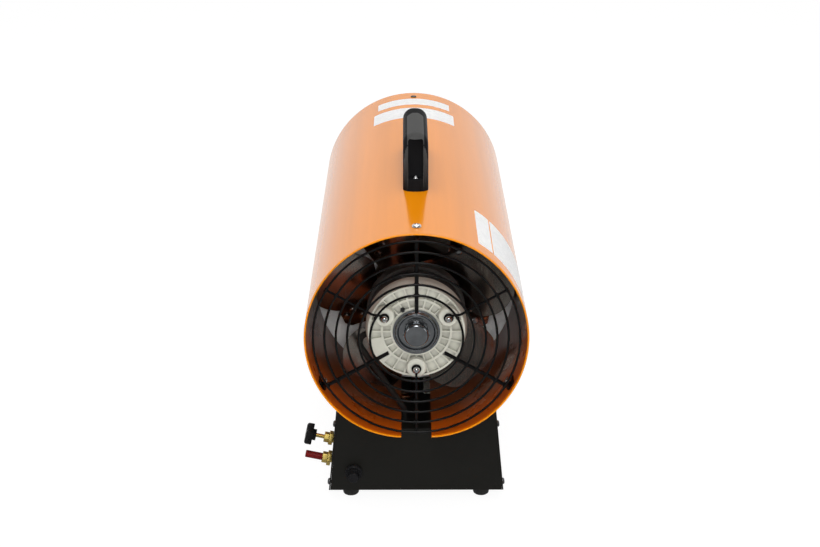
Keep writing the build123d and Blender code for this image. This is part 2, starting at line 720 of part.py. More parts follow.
def motor_nuts():
    """Dome nuts that clamp the guard's eyes on the motor's lugs."""
    seat_y = LUG_FACE_Y - 2 * GUARD_STRUT_RADIUS
    dome_radius = NUT_ACROSS_FLATS / 2 - 0.1
    nut = hexagon(NUT_ACROSS_FLATS, 0, NUT_HEIGHT)
    nut += round_bar(dome_radius, 0, DOME_NUT_HEIGHT - dome_radius)
    nut += Pos(0, 0, DOME_NUT_HEIGHT - dome_radius) * Sphere(dome_radius)
    nut -= round_bar(MOTOR_BOLT_RADIUS + RUNNING_CLEARANCE, -1, DOME_NUT_HEIGHT - 1.4)
    place = Pos(0, seat_y, 0) * Rot(90, 0, 0)
    return [around(clock, 0, BOLT_CIRCLE_RADIUS) * place * nut for clock in GUARD_STRUT_CLOCKS]


def bearing(start_y):
    """A sealed ball bearing with recessed seals."""
    bore = SHAFT_RADIUS + RUNNING_CLEARANCE
    end_y = start_y + BEARING_WIDTH
    seal_inner = bore + 1.5
    seal_outer = BEARING_RADIUS - 1.5
    return turned(
        (bore, start_y),
        (seal_inner, start_y),
        (seal_inner, start_y + 0.5),
        (seal_outer, start_y + 0.5),
        (seal_outer, start_y),
        (BEARING_RADIUS, start_y),
        (BEARING_RADIUS, end_y),
        (seal_outer, end_y),
        (seal_outer, end_y - 0.5),
        (seal_inner, end_y - 0.5),
        (seal_inner, end_y),
        (bore, end_y),
    )


def rear_bearing():
    """Bearing behind the cap."""
    return bearing(MOTOR_FACE_Y + BEARING_SEAT_DEPTH)


def front_bearing():
    """Bearing on the fan's side."""
    return bearing(FRONT_SHIELD_END_Y - BEARING_SEAT_DEPTH - BEARING_WIDTH)


def motor_shaft():
    """Shaft from the rear bearing to the fan's nut."""
    shaft = rod(SHAFT_START_Y, SHAFT_END_Y, SHAFT_RADIUS)
    return chamfer(shaft.edges(), 0.6)


def rotor_core():
    """Rotor that turns inside the stator."""
    rotor = pipe(
        STATOR_START_Y + ROTOR_END_GAP,
        STATOR_END_Y - ROTOR_END_GAP,
        STATOR_BORE_RADIUS - ROTOR_GAP,
        SHAFT_RADIUS,
    )
    return rotor


# ------------------------------------------------------------------------ fan

def blade_sheet(offset, thickness):
    """Curved sheet on the blade's pitch, offset towards the outlet from its middle."""
    centre_x = BLADE_CAMBER_RADIUS * sin(radians(BLADE_PITCH))
    centre_y = FAN_ARM_Y + BLADE_CAMBER_RADIUS * cos(radians(BLADE_PITCH))
    outer = BLADE_CAMBER_RADIUS - offset + thickness / 2
    height = FAN_TIP_RADIUS + 20
    sheet = Cylinder(outer, height) - Cylinder(outer - thickness, height + 2)
    return Pos(centre_x, centre_y, height / 2) * sheet


def blade_outline():
    """Sickle-shaped blade seen from the inlet, with its arm at 12 o'clock."""
    root = FAN_ROOT_RADIUS
    tip = FAN_TIP_RADIUS
    reach = tip - root
    lead = BLADE_LEADING_CLOCKS
    trail = BLADE_TRAILING_CLOCKS
    root_lead = polar_point(root, lead[0])
    belly = polar_point(root + 0.35 * reach, lead[2])
    shoulder = polar_point(root + 0.9 * reach, lead[4])
    tip_lead = polar_point(tip, lead[6])
    tip_trail = polar_point(tip, trail[0])
    heel = polar_point(root + 0.51 * reach, trail[2])
    tab = polar_point(root + 0.39 * reach, trail[3])
    root_trail = polar_point(root, trail[4])
    return make_face(
        [
            ThreePointArc(root_lead, polar_point(root + 0.14 * reach, lead[1]), belly),
            ThreePointArc(belly, polar_point(root + 0.67 * reach, lead[3]), shoulder),
            ThreePointArc(shoulder, polar_point(root + 0.98 * reach, lead[5]), tip_lead),
            ThreePointArc(tip_lead, polar_point(tip, (lead[6] + trail[0]) / 2), tip_trail),
            ThreePointArc(tip_trail, polar_point(root + 0.75 * reach, trail[1]), heel),
            Line(heel, tab),
            Line(tab, root_trail),
            ThreePointArc(root_trail, polar_point(root, (trail[4] + lead[0]) / 2), root_lead),
        ]
    )


def rivet_frame(x, z):
    """The place of a rivet on the blade's middle sheet, +Z facing the inlet."""
    slope = asin(x / BLADE_CAMBER_RADIUS - sin(radians(BLADE_PITCH)))
    back = BLADE_CAMBER_RADIUS * (cos(radians(BLADE_PITCH)) - cos(slope))
    return Pos(x, FAN_ARM_Y + back, z) * Rot(0, 0, degrees(slope)) * Rot(90, 0, 0)


def rivet_holes():
    """Holes for the rivets through a blade and its arm."""
    hole = Cylinder(RIVET_RADIUS + RUNNING_CLEARANCE, 12)
    return [rivet_frame(x, z) * hole for x, z in RIVET_PLACES]


def blade():
    """One blade cut from curved sheet."""
    prism = slab(blade_outline(), FAN_ARM_Y - FAN_TIP_RADIUS, FAN_ARM_Y + FAN_TIP_RADIUS)
    return (blade_sheet(0, BLADE_THICKNESS) & prism) - rivet_holes()


def fan_arm():
    """One arm of the spider, pressed to the curve of the blade's back."""
    offset = (BLADE_THICKNESS + ARM_THICKNESS) / 2
    half = ARM_WIDTH / 2
    root_half = HUB_RADIUS - 3
    outline = make_face(
        Polyline(
            (-root_half, 2),
            (-half, ARM_SHOULDER),
            (-half, ARM_LENGTH - ARM_CORNER),
            (-half + ARM_CORNER, ARM_LENGTH),
            (half - ARM_CORNER, ARM_LENGTH),
            (half, ARM_LENGTH - ARM_CORNER),
            (half, ARM_SHOULDER),
            (root_half, 2),
            close=True,
        )
    )
    prism = slab(outline, FAN_ARM_Y - FAN_TIP_RADIUS, FAN_ARM_Y + FAN_TIP_RADIUS)
    return (blade_sheet(offset, ARM_THICKNESS) & prism) - rivet_holes()


def fan_clocks():
    """Clock angles of the fan's arms."""
    return [FAN_FIRST_ARM_CLOCK + 360 / FAN_BLADE_COUNT * k for k in range(FAN_BLADE_COUNT)]


def fan_hub():
    """Boss with a spider of arms that carry the blades."""
    hub = rod(HUB_START_Y, HUB_END_Y, HUB_RADIUS)
    hub = chamfer(hub.edges(), 1.0)
    for clock in fan_clocks():
        hub += Rot(0, clock, 0) * fan_arm()
    return hub - rod(HUB_START_Y - 1, HUB_END_Y + 20, SHAFT_RADIUS)


def fan_blades():
    """All blades."""
    return [Rot(0, clock, 0) * blade() for clock in fan_clocks()]


def fan_rivets():
    """Round-head rivets that join each blade to its arm."""
    front = BLADE_THICKNESS / 2
    back = -BLADE_THICKNESS / 2 - ARM_THICKNESS
    tail_start = back - RIVET_SEAT_GAP - RIVET_TAIL_HEIGHT
    head = round_bar(RIVET_HEAD_RADIUS, front, RIVET_HEAD_HEIGHT)
    head = chamfer(head.edges().group_by(Axis.Z)[-1], RIVET_HEAD_HEIGHT * 0.6)
    tail = round_bar(RIVET_HEAD_RADIUS - 0.6, tail_start, RIVET_TAIL_HEIGHT)
    shank = round_bar(RIVET_RADIUS, tail_start, front + RIVET_HEAD_HEIGHT / 2 - tail_start)
    rivet = shank + head + tail
    rivets = []
    for clock in fan_clocks():
        rivets += [Rot(0, clock, 0) * rivet_frame(x, z) * rivet for x, z in RIVET_PLACES]
    return rivets


def fan_nut():
    """Nut that holds the fan on the shaft."""
    nut = hexagon(FAN_NUT_ACROSS, 0, SHAFT_END_Y - HUB_END_Y - SHAFT_PROUD)
    nut -= round_bar(SHAFT_RADIUS, -1, SHAFT_END_Y)
    return Pos(0, HUB_END_Y, 0) * Rot(-90, 0, 0) * nut


# --------------------------------------------------------------------- burner

def baffle_plate():
    """Ring plate behind the fan, with a turned lip and legs to the burner plate."""
    end_y = BAFFLE_Y + BAFFLE_THICKNESS
    plate = pipe(BAFFLE_Y, end_y, BAFFLE_RADIUS, BAFFLE_BORE_RADIUS)
    plate += pipe(
        end_y - 0.1, end_y + BAFFLE_LIP, BAFFLE_BORE_RADIUS + BAFFLE_THICKNESS, BAFFLE_BORE_RADIUS
    )
    leg_radius = CHAMBER_RADIUS - BAFFLE_LEG_WIDTH / 2
    leg_length = CHAMBER_START_Y - end_y
    leg = Box(BAFFLE_LEG_WIDTH, leg_length + 0.1, BAFFLE_THICKNESS)
    for clock in BAFFLE_LEG_CLOCKS:
        plate += around(clock, end_y + leg_length / 2 - 0.05, leg_radius) * leg
    vent_length, vent_width = BAFFLE_VENT
    vent = Pos(0, BAFFLE_Y, BAFFLE_VENT_RADIUS) * Box(vent_length, 10, vent_width)
    for clock in BAFFLE_VENT_CLOCKS:
        plate -= Rot(0, clock, 0) * vent
    return plate


def burner_tube():
    """Open-ended combustion tube."""
    tube = pipe(CHAMBER_START_Y, CHAMBER_END_Y, CHAMBER_RADIUS, CHAMBER_INNER)
    for clock in FRONT_BRACKET_CLOCKS:
        tube -= around(clock, FRONT_BRACKET_Y - BRACKET_FOOT, CHAMBER_RADIUS) * screw_hole(4)
    return tube


def burner_plate():
    """Flame holder plate in the rear end of the combustion tube."""
    end_y = CHAMBER_START_Y + BURNER_PLATE_THICKNESS
    plate = pipe(CHAMBER_START_Y, end_y, CHAMBER_INNER - SHEET_CLEARANCE, CONE_REAR_RADIUS)
    for row_radius, hole_radius, count in BURNER_HOLE_ROWS:
        hole = rod(CHAMBER_START_Y - 1, end_y + 1, hole_radius, 0, row_radius)
        plate -= [Rot(0, 360 / count * k, 0) * hole for k in range(count)]
    for clock in (ELECTRODE_CLOCK, THERMOCOUPLE_CLOCK):
        plate -= Rot(0, clock, 0) * rod(
            CHAMBER_START_Y - 1, end_y + 1, PROBE_RADIUS + SHEET_CLEARANCE, 0, PROBE_CIRCLE
        )
    return plate


def burner_cone():
    """Perforated flame cone that opens towards the outlet."""
    start_y = CHAMBER_START_Y + BURNER_PLATE_THICKNESS
    end_y = start_y + CONE_LENGTH
    floor = NOZZLE_RADIUS + SHEET_CLEARANCE
    cone = turned(
        (floor, start_y),
        (CONE_REAR_RADIUS + CONE_WALL, start_y),
        (CONE_FRONT_RADIUS + CONE_WALL, end_y),
        (CONE_FRONT_RADIUS, end_y),
        (CONE_REAR_RADIUS, start_y + CONE_WALL),
        (floor, start_y + CONE_WALL),
    )
    slope = (CONE_FRONT_RADIUS - CONE_REAR_RADIUS) / CONE_LENGTH
    for row, along in enumerate(CONE_HOLE_ROWS):
        radius = CONE_REAR_RADIUS + slope * along
        hole = Pos(0, start_y + along, radius) * Rot(degrees(atan(slope)), 0, 0)
        hole *= Cylinder(CONE_HOLE_RADIUS, 10)
        turn = 360 / CONE_HOLES_PER_ROW
        cone -= [Rot(0, turn * (k + row / 2), 0) * hole for k in range(CONE_HOLES_PER_ROW)]
    return cone


def probe(clock, reach):
    """A stepped rod through the burner plate, seated on it by a flange."""
    behind, body_reach, tip_reach = reach
    y = CHAMBER_START_Y
    body = rod(y - behind, y + body_reach, PROBE_RADIUS, 0, PROBE_CIRCLE)
    flange = rod(y - PROBE_FLANGE, y, PROBE_RADIUS + PROBE_FLANGE, 0, PROBE_CIRCLE)
    tip = rod(y + body_reach - 0.1, y + tip_reach, PROBE_TIP_RADIUS, 0, PROBE_CIRCLE)
    return Rot(0, clock, 0) * (body + flange + tip)


def ignition_electrode():
    """Ceramic spark electrode."""
    return probe(ELECTRODE_CLOCK, ELECTRODE_REACH)


def thermocouple():
    """Flame safety thermocouple."""
    return probe(THERMOCOUPLE_CLOCK, THERMOCOUPLE_REACH)


def burner_nozzle():
    """Brass nozzle at the end of the gas pipe."""
    start_y = CHAMBER_START_Y + BURNER_PLATE_THICKNESS - NOZZLE_LENGTH / 2
    end_y = start_y + NOZZLE_LENGTH
    nozzle = turned(
        (0, start_y),
        (NOZZLE_RADIUS, start_y),
        (NOZZLE_RADIUS, end_y - NOZZLE_TIP_LENGTH),
        (NOZZLE_RADIUS * 0.6, end_y),
        (NOZZLE_JET_RADIUS, end_y),
        (NOZZLE_JET_RADIUS, end_y - NOZZLE_JET_DEPTH),
        (0, end_y - NOZZLE_JET_DEPTH),
    )
    collar_y = CHAMBER_START_Y + BURNER_PLATE_THICKNESS
    collar = hexagon(NOZZLE_NUT_ACROSS, 0, NOZZLE_NUT_HEIGHT)
    collar = Pos(0, collar_y, 0) * Rot(90, 0, 0) * collar
    return nozzle + collar


def gas_pipe():
    """Pipe from the valve block, up through the shell's slot, to the nozzle."""
    nozzle_start = CHAMBER_START_Y + BURNER_PLATE_THICKNESS - NOZZLE_LENGTH / 2
    riser_y = (BAFFLE_Y + BAFFLE_THICKNESS + nozzle_start) / 2 - 2
    start = valve_block_outlet()
    path = [
        start,
        (start[0], riser_y, start[2]),
        (0, riser_y, start[2]),
        (0, riser_y, 0),
        (0, nozzle_start, 0),
    ]
    return bent_wire(path, GAS_PIPE_RADIUS, min(GAS_PIPE_BEND, (nozzle_start - riser_y) * 0.9))


def bracket(foot_direction):
    """Z-shaped strip from the combustion tube to the shell, drawn at 12 o'clock."""
    low = CHAMBER_RADIUS
    high = SHELL_INNER - SHEET_CLEARANCE
    t = BRACKET_THICKNESS
    f = BRACKET_FOOT * foot_direction
    half = BRACKET_FOOT / 2 * foot_direction
    profile = make_face(
        Polyline(
            (half, high),
            (-half, high),
            (-half, low + t),
            (-half - f, low + t),
            (-half - f, low),
            (-half + t * foot_direction, low),
            (-half + t * foot_direction, high - t),
            (half, high - t),
            close=True,
        )
    )
    strip = extrude(Plane.YZ * profile, BRACKET_WIDTH / 2, both=True)
    strip -= rod(-50, 50, CHAMBER_RADIUS)
    strip &= rod(-50, 50, high)
    return strip - Pos(0, 0, high) * screw_hole(4)


def tube_brackets():
    """Brackets that hang the combustion tube in the shell."""
    front = [around(clock, FRONT_BRACKET_Y) * bracket(1) for clock in FRONT_BRACKET_CLOCKS]
    rear = [around(clock, REAR_BRACKET_Y) * bracket(1) for clock in REAR_BRACKET_CLOCKS]
    for k, clock in enumerate(FRONT_BRACKET_CLOCKS):
        hole = around(clock, FRONT_BRACKET_Y - BRACKET_FOOT, CHAMBER_RADIUS + BRACKET_THICKNESS)
        front[k] -= hole * screw_hole(4)
    return front + rear


def bracket_screws():
    """Screws through the shell into the brackets."""
    head = (SHALLOW_HEAD_RADIUS, SHALLOW_HEAD_HEIGHT)
    screw = pan_screw(SHELL_WALL + BRACKET_THICKNESS + 4, SCREW_RADIUS, *head)
    places = [(clock, FRONT_BRACKET_Y) for clock in FRONT_BRACKET_CLOCKS]
    places += [(clock, REAR_BRACKET_Y) for clock in REAR_BRACKET_CLOCKS]
    return [around(clock, y, SHELL_RADIUS) * screw for clock, y in places]


def burner_tube_screws():
    """Screws that pin the combustion tube to its front brackets."""
    screw = pan_screw(BRACKET_THICKNESS + CHAMBER_WALL + 4)
    seat = CHAMBER_RADIUS + BRACKET_THICKNESS
    y = FRONT_BRACKET_Y - BRACKET_FOOT
    return [around(clock, y, seat) * screw for clock in FRONT_BRACKET_CLOCKS]


def overheat_thermostat():
    """Snap-disc thermostat strapped to the top of the combustion tube."""
    y = CHAMBER_START_Y + THERMOSTAT_REACH
    body = round_bar(THERMOSTAT_RADIUS, 0, THERMOSTAT_HEIGHT)
    body += Pos(0, 0, THERMOSTAT_FLANGE[2] / 2) * Box(*THERMOSTAT_FLANGE)
    for side in (-1, 1):
        pin_z = THERMOSTAT_HEIGHT + THERMOSTAT_PIN[2] / 2 - 0.5
        body += Pos(side * THERMOSTAT_RADIUS / 2, 0, pin_z) * Box(*THERMOSTAT_PIN)
    return around(THERMOSTAT_CLOCK, y, CHAMBER_RADIUS + SHEET_CLEARANCE) * body


# --------------------------------------------------------------------- handle

def handle_recess():
    """Square pocket in the end of a leg, with its screw hole."""
    floor = SHELL_RADIUS + HANDLE_RECESS_FLOOR
    top = SHELL_RADIUS + HANDLE_RECESS_TOP
    side = make_face(
        Polyline(
            (HANDLE_START_Y - 5, floor),
            (HANDLE_START_Y + HANDLE_RECESS_DEPTH, floor),
            (HANDLE_START_Y + HANDLE_RECESS_DEPTH + HANDLE_LEG_LEAN, top),
            (HANDLE_START_Y - 5, top),
            close=True,
        )
    )
    pocket = extrude(Plane.YZ * side, HANDLE_RECESS_WIDTH / 2, both=True)
    pocket = fillet(pocket.edges().filter_by(Axis.Y).group_by(Axis.Z)[-1], HANDLE_RECESS_CORNER)
    return pocket + Pos(0, HANDLE_START_Y + HANDLE_SCREW_INSET, floor) * screw_hole(30)


def handle():
    """Moulded carrying handle: an arch with rounded edges and screwed feet."""
    foot_z = SHELL_RADIUS - 2
    top_z = SHELL_RADIUS + HANDLE_HEIGHT
    end_y = HANDLE_START_Y + HANDLE_LENGTH
    outline = FilletPolyline(
        (HANDLE_START_Y, foot_z),
        (HANDLE_START_Y + HANDLE_LEG_LEAN, top_z),
        (end_y - HANDLE_LEG_LEAN, top_z),
        (end_y, foot_z),
        radius=HANDLE_CORNER_RADIUS,
    )
    bottom = Line((end_y, foot_z), (HANDLE_START_Y, foot_z))
    body = extrude(Plane.YZ * make_face([outline, bottom]), HANDLE_WIDTH / 2, both=True)
    long_edges = [e for e in body.edges() if abs(abs(e.center().X) - HANDLE_WIDTH / 2) < 0.01]
    body = fillet([e for e in long_edges if e.center().Z > foot_z + 1], HANDLE_EDGE_RADIUS)
    gap_top = top_z - HANDLE_GRIP_DEPTH
    gap_start = HANDLE_START_Y + HANDLE_LEG_DEPTH
    gap_end = end_y - HANDLE_LEG_DEPTH
    gap_line = FilletPolyline(
        (gap_start, foot_z - 5),
        (gap_start + HANDLE_GAP_LEAN, gap_top),
        (gap_end - HANDLE_GAP_LEAN, gap_top),
        (gap_end, foot_z - 5),
        radius=HANDLE_GAP_CORNER,
    )
    gap_bottom = Line((gap_end, foot_z - 5), (gap_start, foot_z - 5))
    body -= extrude(Plane.YZ * make_face([gap_line, gap_bottom]), HANDLE_WIDTH, both=True)
    recess = handle_recess()
    middle_y = HANDLE_START_Y + HANDLE_LENGTH / 2
    body -= recess
    body -= Pos(0, 2 * middle_y, 0) * mirror(recess, Plane.XZ)
    groove_length = HANDLE_LENGTH - 2 * HANDLE_LEG_DEPTH - 2 * HANDLE_GAP_LEAN - HANDLE_GAP_CORNER
    groove = Pos(0, middle_y, gap_top) * Box(HANDLE_GROOVE_WIDTH, groove_length, 2 * HANDLE_GROOVE_DEPTH)
    body -= fillet(groove.edges().filter_by(Axis.Z), HANDLE_GROOVE_CORNER)
    return body - rod(0, SHELL_LENGTH, SHELL_RADIUS)


def handle_screws():
    """Screws down through the handle's feet into the shell."""
    seat = SHELL_RADIUS + HANDLE_RECESS_FLOOR
    head = (SHALLOW_HEAD_RADIUS, SHALLOW_HEAD_HEIGHT)
    screw = pan_screw(HANDLE_RECESS_FLOOR + SHELL_WALL + 4, SCREW_RADIUS, *head)
    return [Pos(0, y, seat) * screw for y in handle_screw_ys()]


# ----------------------------------------------------------------------- base

def side_x(z, inset=0.0):
    """Half width of the base at a height, measured to the side panel's outer face."""
    return BASE_WIDTH / 2 - (z - BASE_BOTTOM) * tan(radians(BASE_FLARE)) - inset


def side_frame(side, y, height):
    """A place on a side panel's outer face, its +Z along the panel's outward normal.

    Its +X runs along the tube, and height is measured from the base's bottom edge.
    """
    z = BASE_BOTTOM + height
    normal = (side * cos(radians(BASE_FLARE)), 0, sin(radians(BASE_FLARE)))
    return Plane(origin=(side * side_x(z), y, z), x_dir=(0, 1, 0), z_dir=normal).location


def end_panel_face():
    """Outline of the base's rear and front panels between the side panels."""
    inset = BASE_SHEET / cos(radians(BASE_FLARE)) + SHEET_CLEARANCE
    top = BASE_SIDE_TOP
    return make_face(
        Polyline(
            (-side_x(BASE_BOTTOM, inset), BASE_BOTTOM),
            (side_x(BASE_BOTTOM, inset), BASE_BOTTOM),
            (side_x(top, inset), top),
            (-side_x(top, inset), top),
            close=True,
        )
    )


def side_flange(side, start_y, end_y):
    """Flange of an end panel, folded in behind the edge of a side panel."""
    outer = BASE_SHEET / cos(radians(BASE_FLARE)) + SHEET_CLEARANCE
    inner = outer + BASE_SHEET
    low = BASE_BOTTOM
    high = BASE_SIDE_TOP - 2
    face = make_face(
        Polyline(
            (side * side_x(low, outer), low),
            (side * side_x(high, outer), high),
            (side * side_x(high, inner), high),
            (side * side_x(low, inner), low),
            close=True,
        )
    )
    return slab(face, start_y, end_y)


def saddle_flange(start_y, end_y):
    """Curved flange that follows the shell's underside."""
    ring = slab(shell_section(SHEET_CLEARANCE + BASE_SHEET), start_y, end_y)
    ring -= slab(shell_section(SHEET_CLEARANCE), start_y - 1, end_y + 1)
    reach = 2 * SHELL_RADIUS
    wedge = make_face(
        Polyline(
            (0, 0),
            polar_point(reach, 180 - SADDLE_SPAN),
            (0, -reach / cos(radians(SADDLE_SPAN))),
            polar_point(reach, 180 + SADDLE_SPAN),
            close=True,
        )
    )
    return ring & slab(wedge, start_y, end_y)


def panel_screw_frames():
    """Places of the eight side panel screws."""
    ys = (BASE_START_Y + PANEL_SCREW_INSET, BASE_END_Y - PANEL_SCREW_INSET)
    return [side_frame(s, y, h) for s in (-1, 1) for y in ys for h in PANEL_SCREW_HEIGHTS]


def foot_places():
    """Centres of the feet in plan."""
    ys = (BASE_START_Y + FOOT_INSET_Y, BASE_END_Y - FOOT_INSET_Y)
    return [(x, y) for y in ys for x in (-FOOT_SPACING_X / 2, FOOT_SPACING_X / 2)]


def base_chassis():
    """Folded sheet: bottom, rear and front panels, with flanges for sides and shell."""
    inset = BASE_SHEET / cos(radians(BASE_FLARE)) + SHEET_CLEARANCE
    shell_cut = slab(shell_section(SHEET_CLEARANCE), 0, SHELL_LENGTH)
    rear = slab(end_panel_face(), BASE_START_Y, BASE_START_Y + BASE_SHEET) - shell_cut
    front = slab(end_panel_face(), BASE_END_Y - BASE_SHEET, BASE_END_Y) - shell_cut
    bottom = Pos(0, (BASE_START_Y + BASE_END_Y) / 2, BASE_BOTTOM + BASE_SHEET / 2)
    bottom *= Box(2 * side_x(BASE_BOTTOM + BASE_SHEET, inset), BASE_LENGTH, BASE_SHEET)
    chassis = rear + front + bottom
    rear_fold = (BASE_START_Y + 0.1, BASE_START_Y + BASE_SHEET + BASE_FLANGE)
    front_fold = (BASE_END_Y - BASE_SHEET - BASE_FLANGE, BASE_END_Y - 0.1)
    for start_y, end_y in (rear_fold, front_fold):
        chassis += side_flange(-1, start_y, end_y)
        chassis += side_flange(1, start_y, end_y)
        chassis += saddle_flange(start_y, end_y)
    for frame in saddle_screw_frames(SHELL_FOOT_RADIUS):
        chassis -= frame * Rot(180, 0, 0) * screw_hole(4)
    for frame in panel_screw_frames():
        chassis -= frame * screw_hole(6, PANEL_SCREW_RADIUS)
    for x, y in foot_places():
        chassis -= Pos(x, y, BASE_BOTTOM + BASE_SHEET) * screw_hole(4)
    piezo_z = BASE_BOTTOM + PIEZO_HEIGHT
    chassis -= rod(
        BASE_START_Y - 1, BASE_START_Y + 3, PIEZO_TUBE_RADIUS + SHEET_CLEARANCE, PIEZO_X, piezo_z
    )
    return chassis


def side_panel(side):
    """Flat side panel over the chassis flanges."""
    inset = BASE_SHEET / cos(radians(BASE_FLARE))
    low = BASE_BOTTOM
    high = BASE_SIDE_TOP
    face = make_face(
        Polyline(
            (side * side_x(low), low),
            (side * side_x(high), high),
            (side * side_x(high, inset), high),
            (side * side_x(low, inset), low),
            close=True,
        )
    )
    panel = slab(face, BASE_START_Y, BASE_END_Y)
    for frame in panel_screw_frames():
        panel -= frame * screw_hole(6, PANEL_SCREW_RADIUS)
    return panel


def left_side_panel():
    """Side panel with the holes of the gas fittings."""
    panel = side_panel(-1)
    hole = 2 * BASE_SHEET
    panel -= fitting_frame(VALVE_HEIGHT) * round_bar(VALVE_THREAD_RADIUS + 0.45, -hole, 2 * hole)
    panel -= fitting_frame(INLET_HEIGHT) * round_bar(INLET_THREAD_RADIUS + 0.45, -hole, 2 * hole)
    return panel


def right_side_panel():
    """Side panel with the cut-outs of the switch and the cable gland."""
    panel = side_panel(1)
    width, height = switch_body_size()
    opening = Box(width + 2 * SHEET_CLEARANCE, height + 2 * SHEET_CLEARANCE, 10)
    panel -= side_frame(1, SWITCH_Y, SWITCH_HEIGHT) * opening
    panel -= side_frame(1, GLAND_Y, GLAND_HEIGHT) * Cylinder(GLAND_THREAD_RADIUS + 0.2, 10)
    return panel


def panel_screws():
    """Screws of both side panels."""
    head = (PANEL_SCREW_HEAD_RADIUS, PANEL_SCREW_HEAD_HEIGHT)
    screw = pan_screw(2 * BASE_SHEET + 5, PANEL_SCREW_RADIUS, *head)
    return [frame * screw for frame in panel_screw_frames()]


def saddle_screws():
    """Screws from inside the shell into the front saddle flange."""
    screw = pan_screw(SHELL_WALL + BASE_SHEET + 4)
    inner = SHELL_FOOT_RADIUS - SHELL_WALL
    seat = sqrt(inner**2 - (SCREW_HEAD_RADIUS + SHEET_CLEARANCE) ** 2)
    return [frame * Rot(180, 0, 0) * screw for frame in saddle_screw_frames(seat)]


def rubber_feet():
    """Four tapered rubber feet with recessed screw seats."""
    recess_top = FOOT_RECESS_DEPTH
    foot = turned_up(
        (SCREW_RADIUS + SCREW_CLEARANCE, recess_top),
        (FOOT_RECESS_RADIUS, recess_top),
        (FOOT_RECESS_RADIUS, 0),
        (FOOT_RADIUS - 1, 0),
        (FOOT_RADIUS, 1),
        (FOOT_TOP_RADIUS, FOOT_HEIGHT),
        (SCREW_RADIUS + SCREW_CLEARANCE, FOOT_HEIGHT),
    )
    return [Pos(x, y, BASE_BOTTOM - FOOT_HEIGHT) * foot for x, y in foot_places()]


def turned_up(*points):
    """A solid turned about +Z from (radius, Z) points."""
    return revolve(Plane.XZ * make_face(Polyline(*points, close=True)), Axis.Z)


def foot_screws():
    """Screws up through the feet into the base."""
    seat = BASE_BOTTOM - FOOT_HEIGHT + FOOT_RECESS_DEPTH
    length = FOOT_HEIGHT - FOOT_RECESS_DEPTH + BASE_SHEET + NUT_HEIGHT + 1
    screw = pan_screw(length)
    return [Pos(x, y, seat) * Rot(180, 0, 0) * screw for x, y in foot_places()]


def foot_nuts():
    """Nuts on the feet's screws, inside the base."""
    nut = hexagon(NUT_ACROSS_FLATS, 0, NUT_HEIGHT)
    nut -= round_bar(SCREW_RADIUS + RUNNING_CLEARANCE, -1, NUT_HEIGHT + 2)
    return [Pos(x, y, BASE_BOTTOM + BASE_SHEET) * nut for x, y in foot_places()]


# --------------------------------------------------------------- gas fittings

def fitting_frame(height):
    """A place on the left panel for a gas fitting, its +Z out along the fitting."""
    z = BASE_BOTTOM + height
    axis = (-cos(radians(FITTING_TILT)), 0, sin(radians(FITTING_TILT)))
    return Plane(origin=(-side_x(z), FITTING_Y, z), x_dir=(0, 1, 0), z_dir=axis).location


def valve_block_outlet():
    """The point on the valve block's front where the gas pipe starts."""
    width, height, depth = FITTING_BLOCK
    panel = side_frame(-1, FITTING_Y, VALVE_HEIGHT)
    place = (panel * Pos(0, 0, -FITTING_BLOCK_GAP - depth / 2)).position
    return (place.X, place.Y + width / 2, place.Z)


def gas_valve_body():
    """Brass block inside the panel, with the spindle's neck and the inlet's seat."""
    width, height, depth = FITTING_BLOCK
    back = -FITTING_BLOCK_GAP
    block = Pos(0, 0, back - depth / 2) * Box(width, height, depth)
    block = chamfer(block.edges().filter_by(Axis.Z), 2.0)
    block = side_frame(-1, FITTING_Y, (VALVE_HEIGHT + INLET_HEIGHT) / 2) * block
    neck_end = PANEL_NUT_START + PANEL_NUT_LENGTH
    neck = round_bar(VALVE_THREAD_RADIUS, back - 2, neck_end - back + 2)
    bore_start = back - SPINDLE_BORE_DEPTH
    bore = round_bar(SPINDLE_RADIUS + RUNNING_CLEARANCE, bore_start, neck_end - bore_start + 1)
    body = block + fitting_frame(VALVE_HEIGHT) * neck
    body -= fitting_frame(VALVE_HEIGHT) * bore
    seat = round_bar(INLET_THREAD_RADIUS + RUNNING_CLEARANCE, back - INLET_THREAD_DEPTH, 20)
    return body - fitting_frame(INLET_HEIGHT) * seat


def valve_panel_nut():
    """Hexagonal nut that clamps the valve's neck to the panel."""
    nut = hexagon(PANEL_NUT_ACROSS, PANEL_NUT_START, PANEL_NUT_LENGTH)
    nut -= round_bar(VALVE_THREAD_RADIUS + RUNNING_CLEARANCE, 0, 10)
    return fitting_frame(VALVE_HEIGHT) * nut


def valve_gland_nut():
    """Gland nut over the end of the neck, round the spindle."""
    start = PANEL_NUT_START + PANEL_NUT_LENGTH
    gland = hexagon(VALVE_GLAND_ACROSS, start, VALVE_GLAND_LENGTH)
    gland -= round_bar(SPINDLE_RADIUS + RUNNING_CLEARANCE, start - 1, VALVE_GLAND_LENGTH + 2)
    return fitting_frame(VALVE_HEIGHT) * gland


def knob_start():
    """How far out of the panel the knob's hub begins."""
    return PANEL_NUT_START + PANEL_NUT_LENGTH + VALVE_GLAND_LENGTH + SPINDLE_FREE_LENGTH


def valve_spindle():
    """Spindle from inside the valve to the knob."""
    start = -FITTING_BLOCK_GAP - SPINDLE_BORE_DEPTH + 1
    end = knob_start() + KNOB_HUB_LENGTH + KNOB_THICKNESS - KNOB_FACE
    return fitting_frame(VALVE_HEIGHT) * round_bar(SPINDLE_RADIUS, start, end - start)


